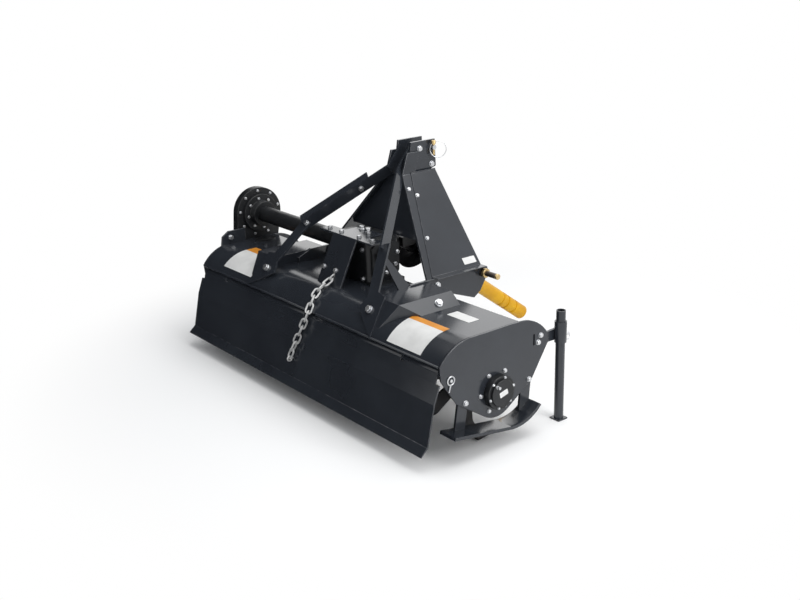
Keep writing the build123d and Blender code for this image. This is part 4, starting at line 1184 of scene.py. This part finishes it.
@dataclass
class Studio:
    """Floor, light and camera."""

    datum: Datum
    azimuth: float = math.radians(51.931)
    elevation: float = math.radians(18.879)
    roll: float = math.radians(-1.517)
    camera_at: Point = (3299.0, -2374.0, 1516.0)
    lens: float = 48.32
    sensor: float = 36.0
    floor_size: float = 60.0
    floor_colour: Colour = (0.93, 0.93, 0.93)
    floor_roughness: float = 0.9
    lit_to: float = 0.95
    white_from: float = 1.75
    card_colour: Colour = (0.008, 0.008, 0.009)
    upright_card: tuple[Point, tuple[float, float]] = ((-2.6, -1.7, 1.9), (3.8, 4.5))
    lying_card: tuple[Point, tuple[float, float]] = ((-1.0, -2.15, 0.004), (3.6, 3.0))
    sky: tuple[Colour, float] = ((0.96, 0.98, 1.0), 0.50)
    backdrop: tuple[Colour, float] = ((1.0, 1.0, 1.0), 1.0)
    lamp_aim: Point = (0.0, 0.0, 0.4)
    lamps: tuple[Lamp, ...] = (
        Lamp("over", (0.6, 0.6, 4.2), 4.0, 115.0),
        Lamp("right", (4.2, 0.4, 2.2), 2.5, 95.0),
        Lamp("sheen", (-3.4, 2.6, 1.9), 3.0, 24.0, lights_matt=False))

    def build(self) -> None:
        """Set the view transform and make the stage."""
        bpy.context.scene.view_settings.view_transform = "Standard"
        self.floor()
        self.dark_cards()
        self.world()
        self.light()
        self.camera()

    @staticmethod
    def seen_directly(tree: NodeTree) -> NodeSocket:
        """Give 1 for rays from the camera, a gloss or a clear surface, and 0 for light.

        Args:
            tree: The nodes of a material or the world.

        Returns:
            The socket with that number.
        """
        path = tree.nodes.new("ShaderNodeLightPath").outputs
        mirrored = add_math(tree, "MAXIMUM", path["Is Glossy Ray"], path["Is Transmission Ray"])
        return add_math(tree, "MAXIMUM", path["Is Camera Ray"], mirrored)

    def floor(self) -> None:
        """Lay a pale floor that keeps the shadow and runs out to white."""
        shape = bmesh.new()
        bmesh.ops.create_grid(shape, x_segments=1, y_segments=1, size=self.floor_size / 2)
        material = new_material("pale floor")
        tree = material.node_tree
        nodes, links = tree.nodes, tree.links
        shader = nodes["Principled BSDF"]
        set_inputs(shader, {"Base Color": (*self.floor_colour, 1.0),
                            "Roughness": self.floor_roughness, "Specular IOR Level": 0.0})
        white = nodes.new("ShaderNodeEmission")
        place = nodes.new("ShaderNodeTexCoord")
        distance = nodes.new("ShaderNodeVectorMath")
        distance.operation = "LENGTH"
        fade = nodes.new("ShaderNodeMapRange")
        fade.interpolation_type = "SMOOTHSTEP"
        set_inputs(fade, {"From Min": self.lit_to, "From Max": self.white_from})
        mix = nodes.new("ShaderNodeMixShader")
        links.new(place.outputs["Object"], distance.inputs[0])
        links.new(distance.outputs["Value"], fade.inputs["Value"])
        share = add_math(tree, "MULTIPLY", fade.outputs["Result"], self.seen_directly(tree))
        links.new(share, mix.inputs["Fac"])
        links.new(shader.outputs["BSDF"], mix.inputs[1])
        links.new(white.outputs["Emission"], mix.inputs[2])
        links.new(mix.outputs["Shader"], nodes["Material Output"].inputs["Surface"])
        floor = new_object("floor", shape, material)

    def dark_cards(self) -> None:
        """Stand dark cards at the left rear, which only the gloss of the paint shows."""
        material = new_material("dark card")
        shader = material.node_tree.nodes["Principled BSDF"]
        set_inputs(shader, {"Base Color": (*self.card_colour, 1.0), "Roughness": 1.0,
                            "Specular IOR Level": 0.0})
        shape = bmesh.new()
        for (place, size), tilt in ((self.upright_card, math.pi / 2), (self.lying_card, 0.0)):
            stand = Matrix.Translation(place) @ Matrix.Rotation(tilt, 4, "Y")
            bmesh.ops.create_grid(shape, x_segments=1, y_segments=1, size=0.5,
                                  matrix=stand @ Matrix.Diagonal((*size, 1.0, 1.0)))
        cards = new_object("dark_cards", shape, material)
        cards.visible_camera = False
        cards.visible_diffuse = False
        cards.visible_transmission = False
        cards.visible_shadow = False

    def world(self) -> None:
        """Light softly from all round, with a white backdrop."""
        world = bpy.data.worlds.new("studio")
        bpy.context.scene.world = world
        world.use_nodes = True
        nodes, links = world.node_tree.nodes, world.node_tree.links
        nodes.clear()
        mix = nodes.new("ShaderNodeMixShader")
        output = nodes.new("ShaderNodeOutputWorld")
        links.new(self.seen_directly(world.node_tree), mix.inputs["Fac"])
        for slot, (colour, strength) in enumerate((self.sky, self.backdrop), 1):
            source = nodes.new("ShaderNodeBackground")
            set_inputs(source, {"Color": (*colour, 1.0), "Strength": strength})
            links.new(source.outputs["Background"], mix.inputs[slot])
        links.new(mix.outputs["Shader"], output.inputs["Surface"])

    def light(self) -> None:
        """Hang a lamp over the machine, one at its right and one whose sheen its top faces show."""
        for lamp in self.lamps:
            data = bpy.data.lights.new(lamp.name, "AREA")
            data.size = lamp.size
            data.energy = lamp.power
            hung = bpy.data.objects.new(lamp.name, data)
            hung.location = lamp.place
            hung.visible_diffuse = lamp.lights_matt
            aim = Vector(self.lamp_aim) - Vector(lamp.place)
            hung.rotation_euler = aim.to_track_quat("-Z", "Y").to_euler()
            bpy.context.scene.collection.objects.link(hung)

    def camera(self) -> None:
        """Stand the camera at the photograph's viewing angle."""
        data = bpy.data.cameras.new("camera")
        data.lens = self.lens
        data.sensor_width = self.sensor
        data.sensor_fit = "HORIZONTAL"
        camera = bpy.data.objects.new("camera", data)
        pitch = Matrix.Rotation(math.pi / 2 - self.elevation, 4, "X")
        turn = Matrix.Rotation(self.azimuth, 4, "Z") @ pitch
        stand = Matrix.Translation(self.datum.at(*self.camera_at))
        camera.matrix_world = stand @ turn @ Matrix.Rotation(self.roll, 4, "Z")
        bpy.context.scene.collection.objects.link(camera)
        bpy.context.scene.camera = camera


LABELS = (
    Label("right_label", 504, 690, 51, 9, 0, WHITE_FILM),
    Label("right_label_header", 504, 690, 9, 0, 3, AMBER_FILM),
    Label("left_label", -648, -428, 45, 1, 0, WHITE_FILM),
    Label("left_label_header", -648, -428, 1, 0, 46, AMBER_FILM),
)
BLANK_PLATES = (
    BlankPlate("hood_plate", (630, -4, 228), (0, 0, 1), (1, 0, 0), 116, 50, 4.0),
    BlankPlate("shield_plate", (309, 316, 301), (0.78, 0, 0.62), (0, 1, 0), 62, 28, 3.0),
    BlankPlate("hub_plate", (834, 2, 0), (1, 0, 0), (0, 1, 0.25), 38, 20, 3.0),
)


def clear_scene() -> None:
    """Empty Blender's opening scene."""
    for thing in list(bpy.data.objects):
        bpy.data.objects.remove(thing)


def main() -> None:
    """Load the frame, dress it piece by piece and set the stage."""
    logging.basicConfig(level=logging.INFO, format="%(message)s")
    clear_scene()
    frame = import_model()
    spin = next(joint for joint in frame["joints"] if joint["name"] == "rotor_spin")
    datum = Datum(Vector((0.0, *spin["pos_m"][1:])))
    seats = Seats(datum)
    Fasteners(seats).build()
    TineBolts(seats).build()
    for plate in BLANK_PLATES:
        plate.build(seats)
    HoodTrim(seats).build()
    build_fittings(seats)
    SpringClips(seats).build()
    for label in LABELS:
        label.build(datum)
    TailChain(datum).build(frame)
    HitchTrim(datum).build()
    Steelwork(datum).dress(frame)
    Studio(datum).build()


if __name__ == "__main__":
    main()
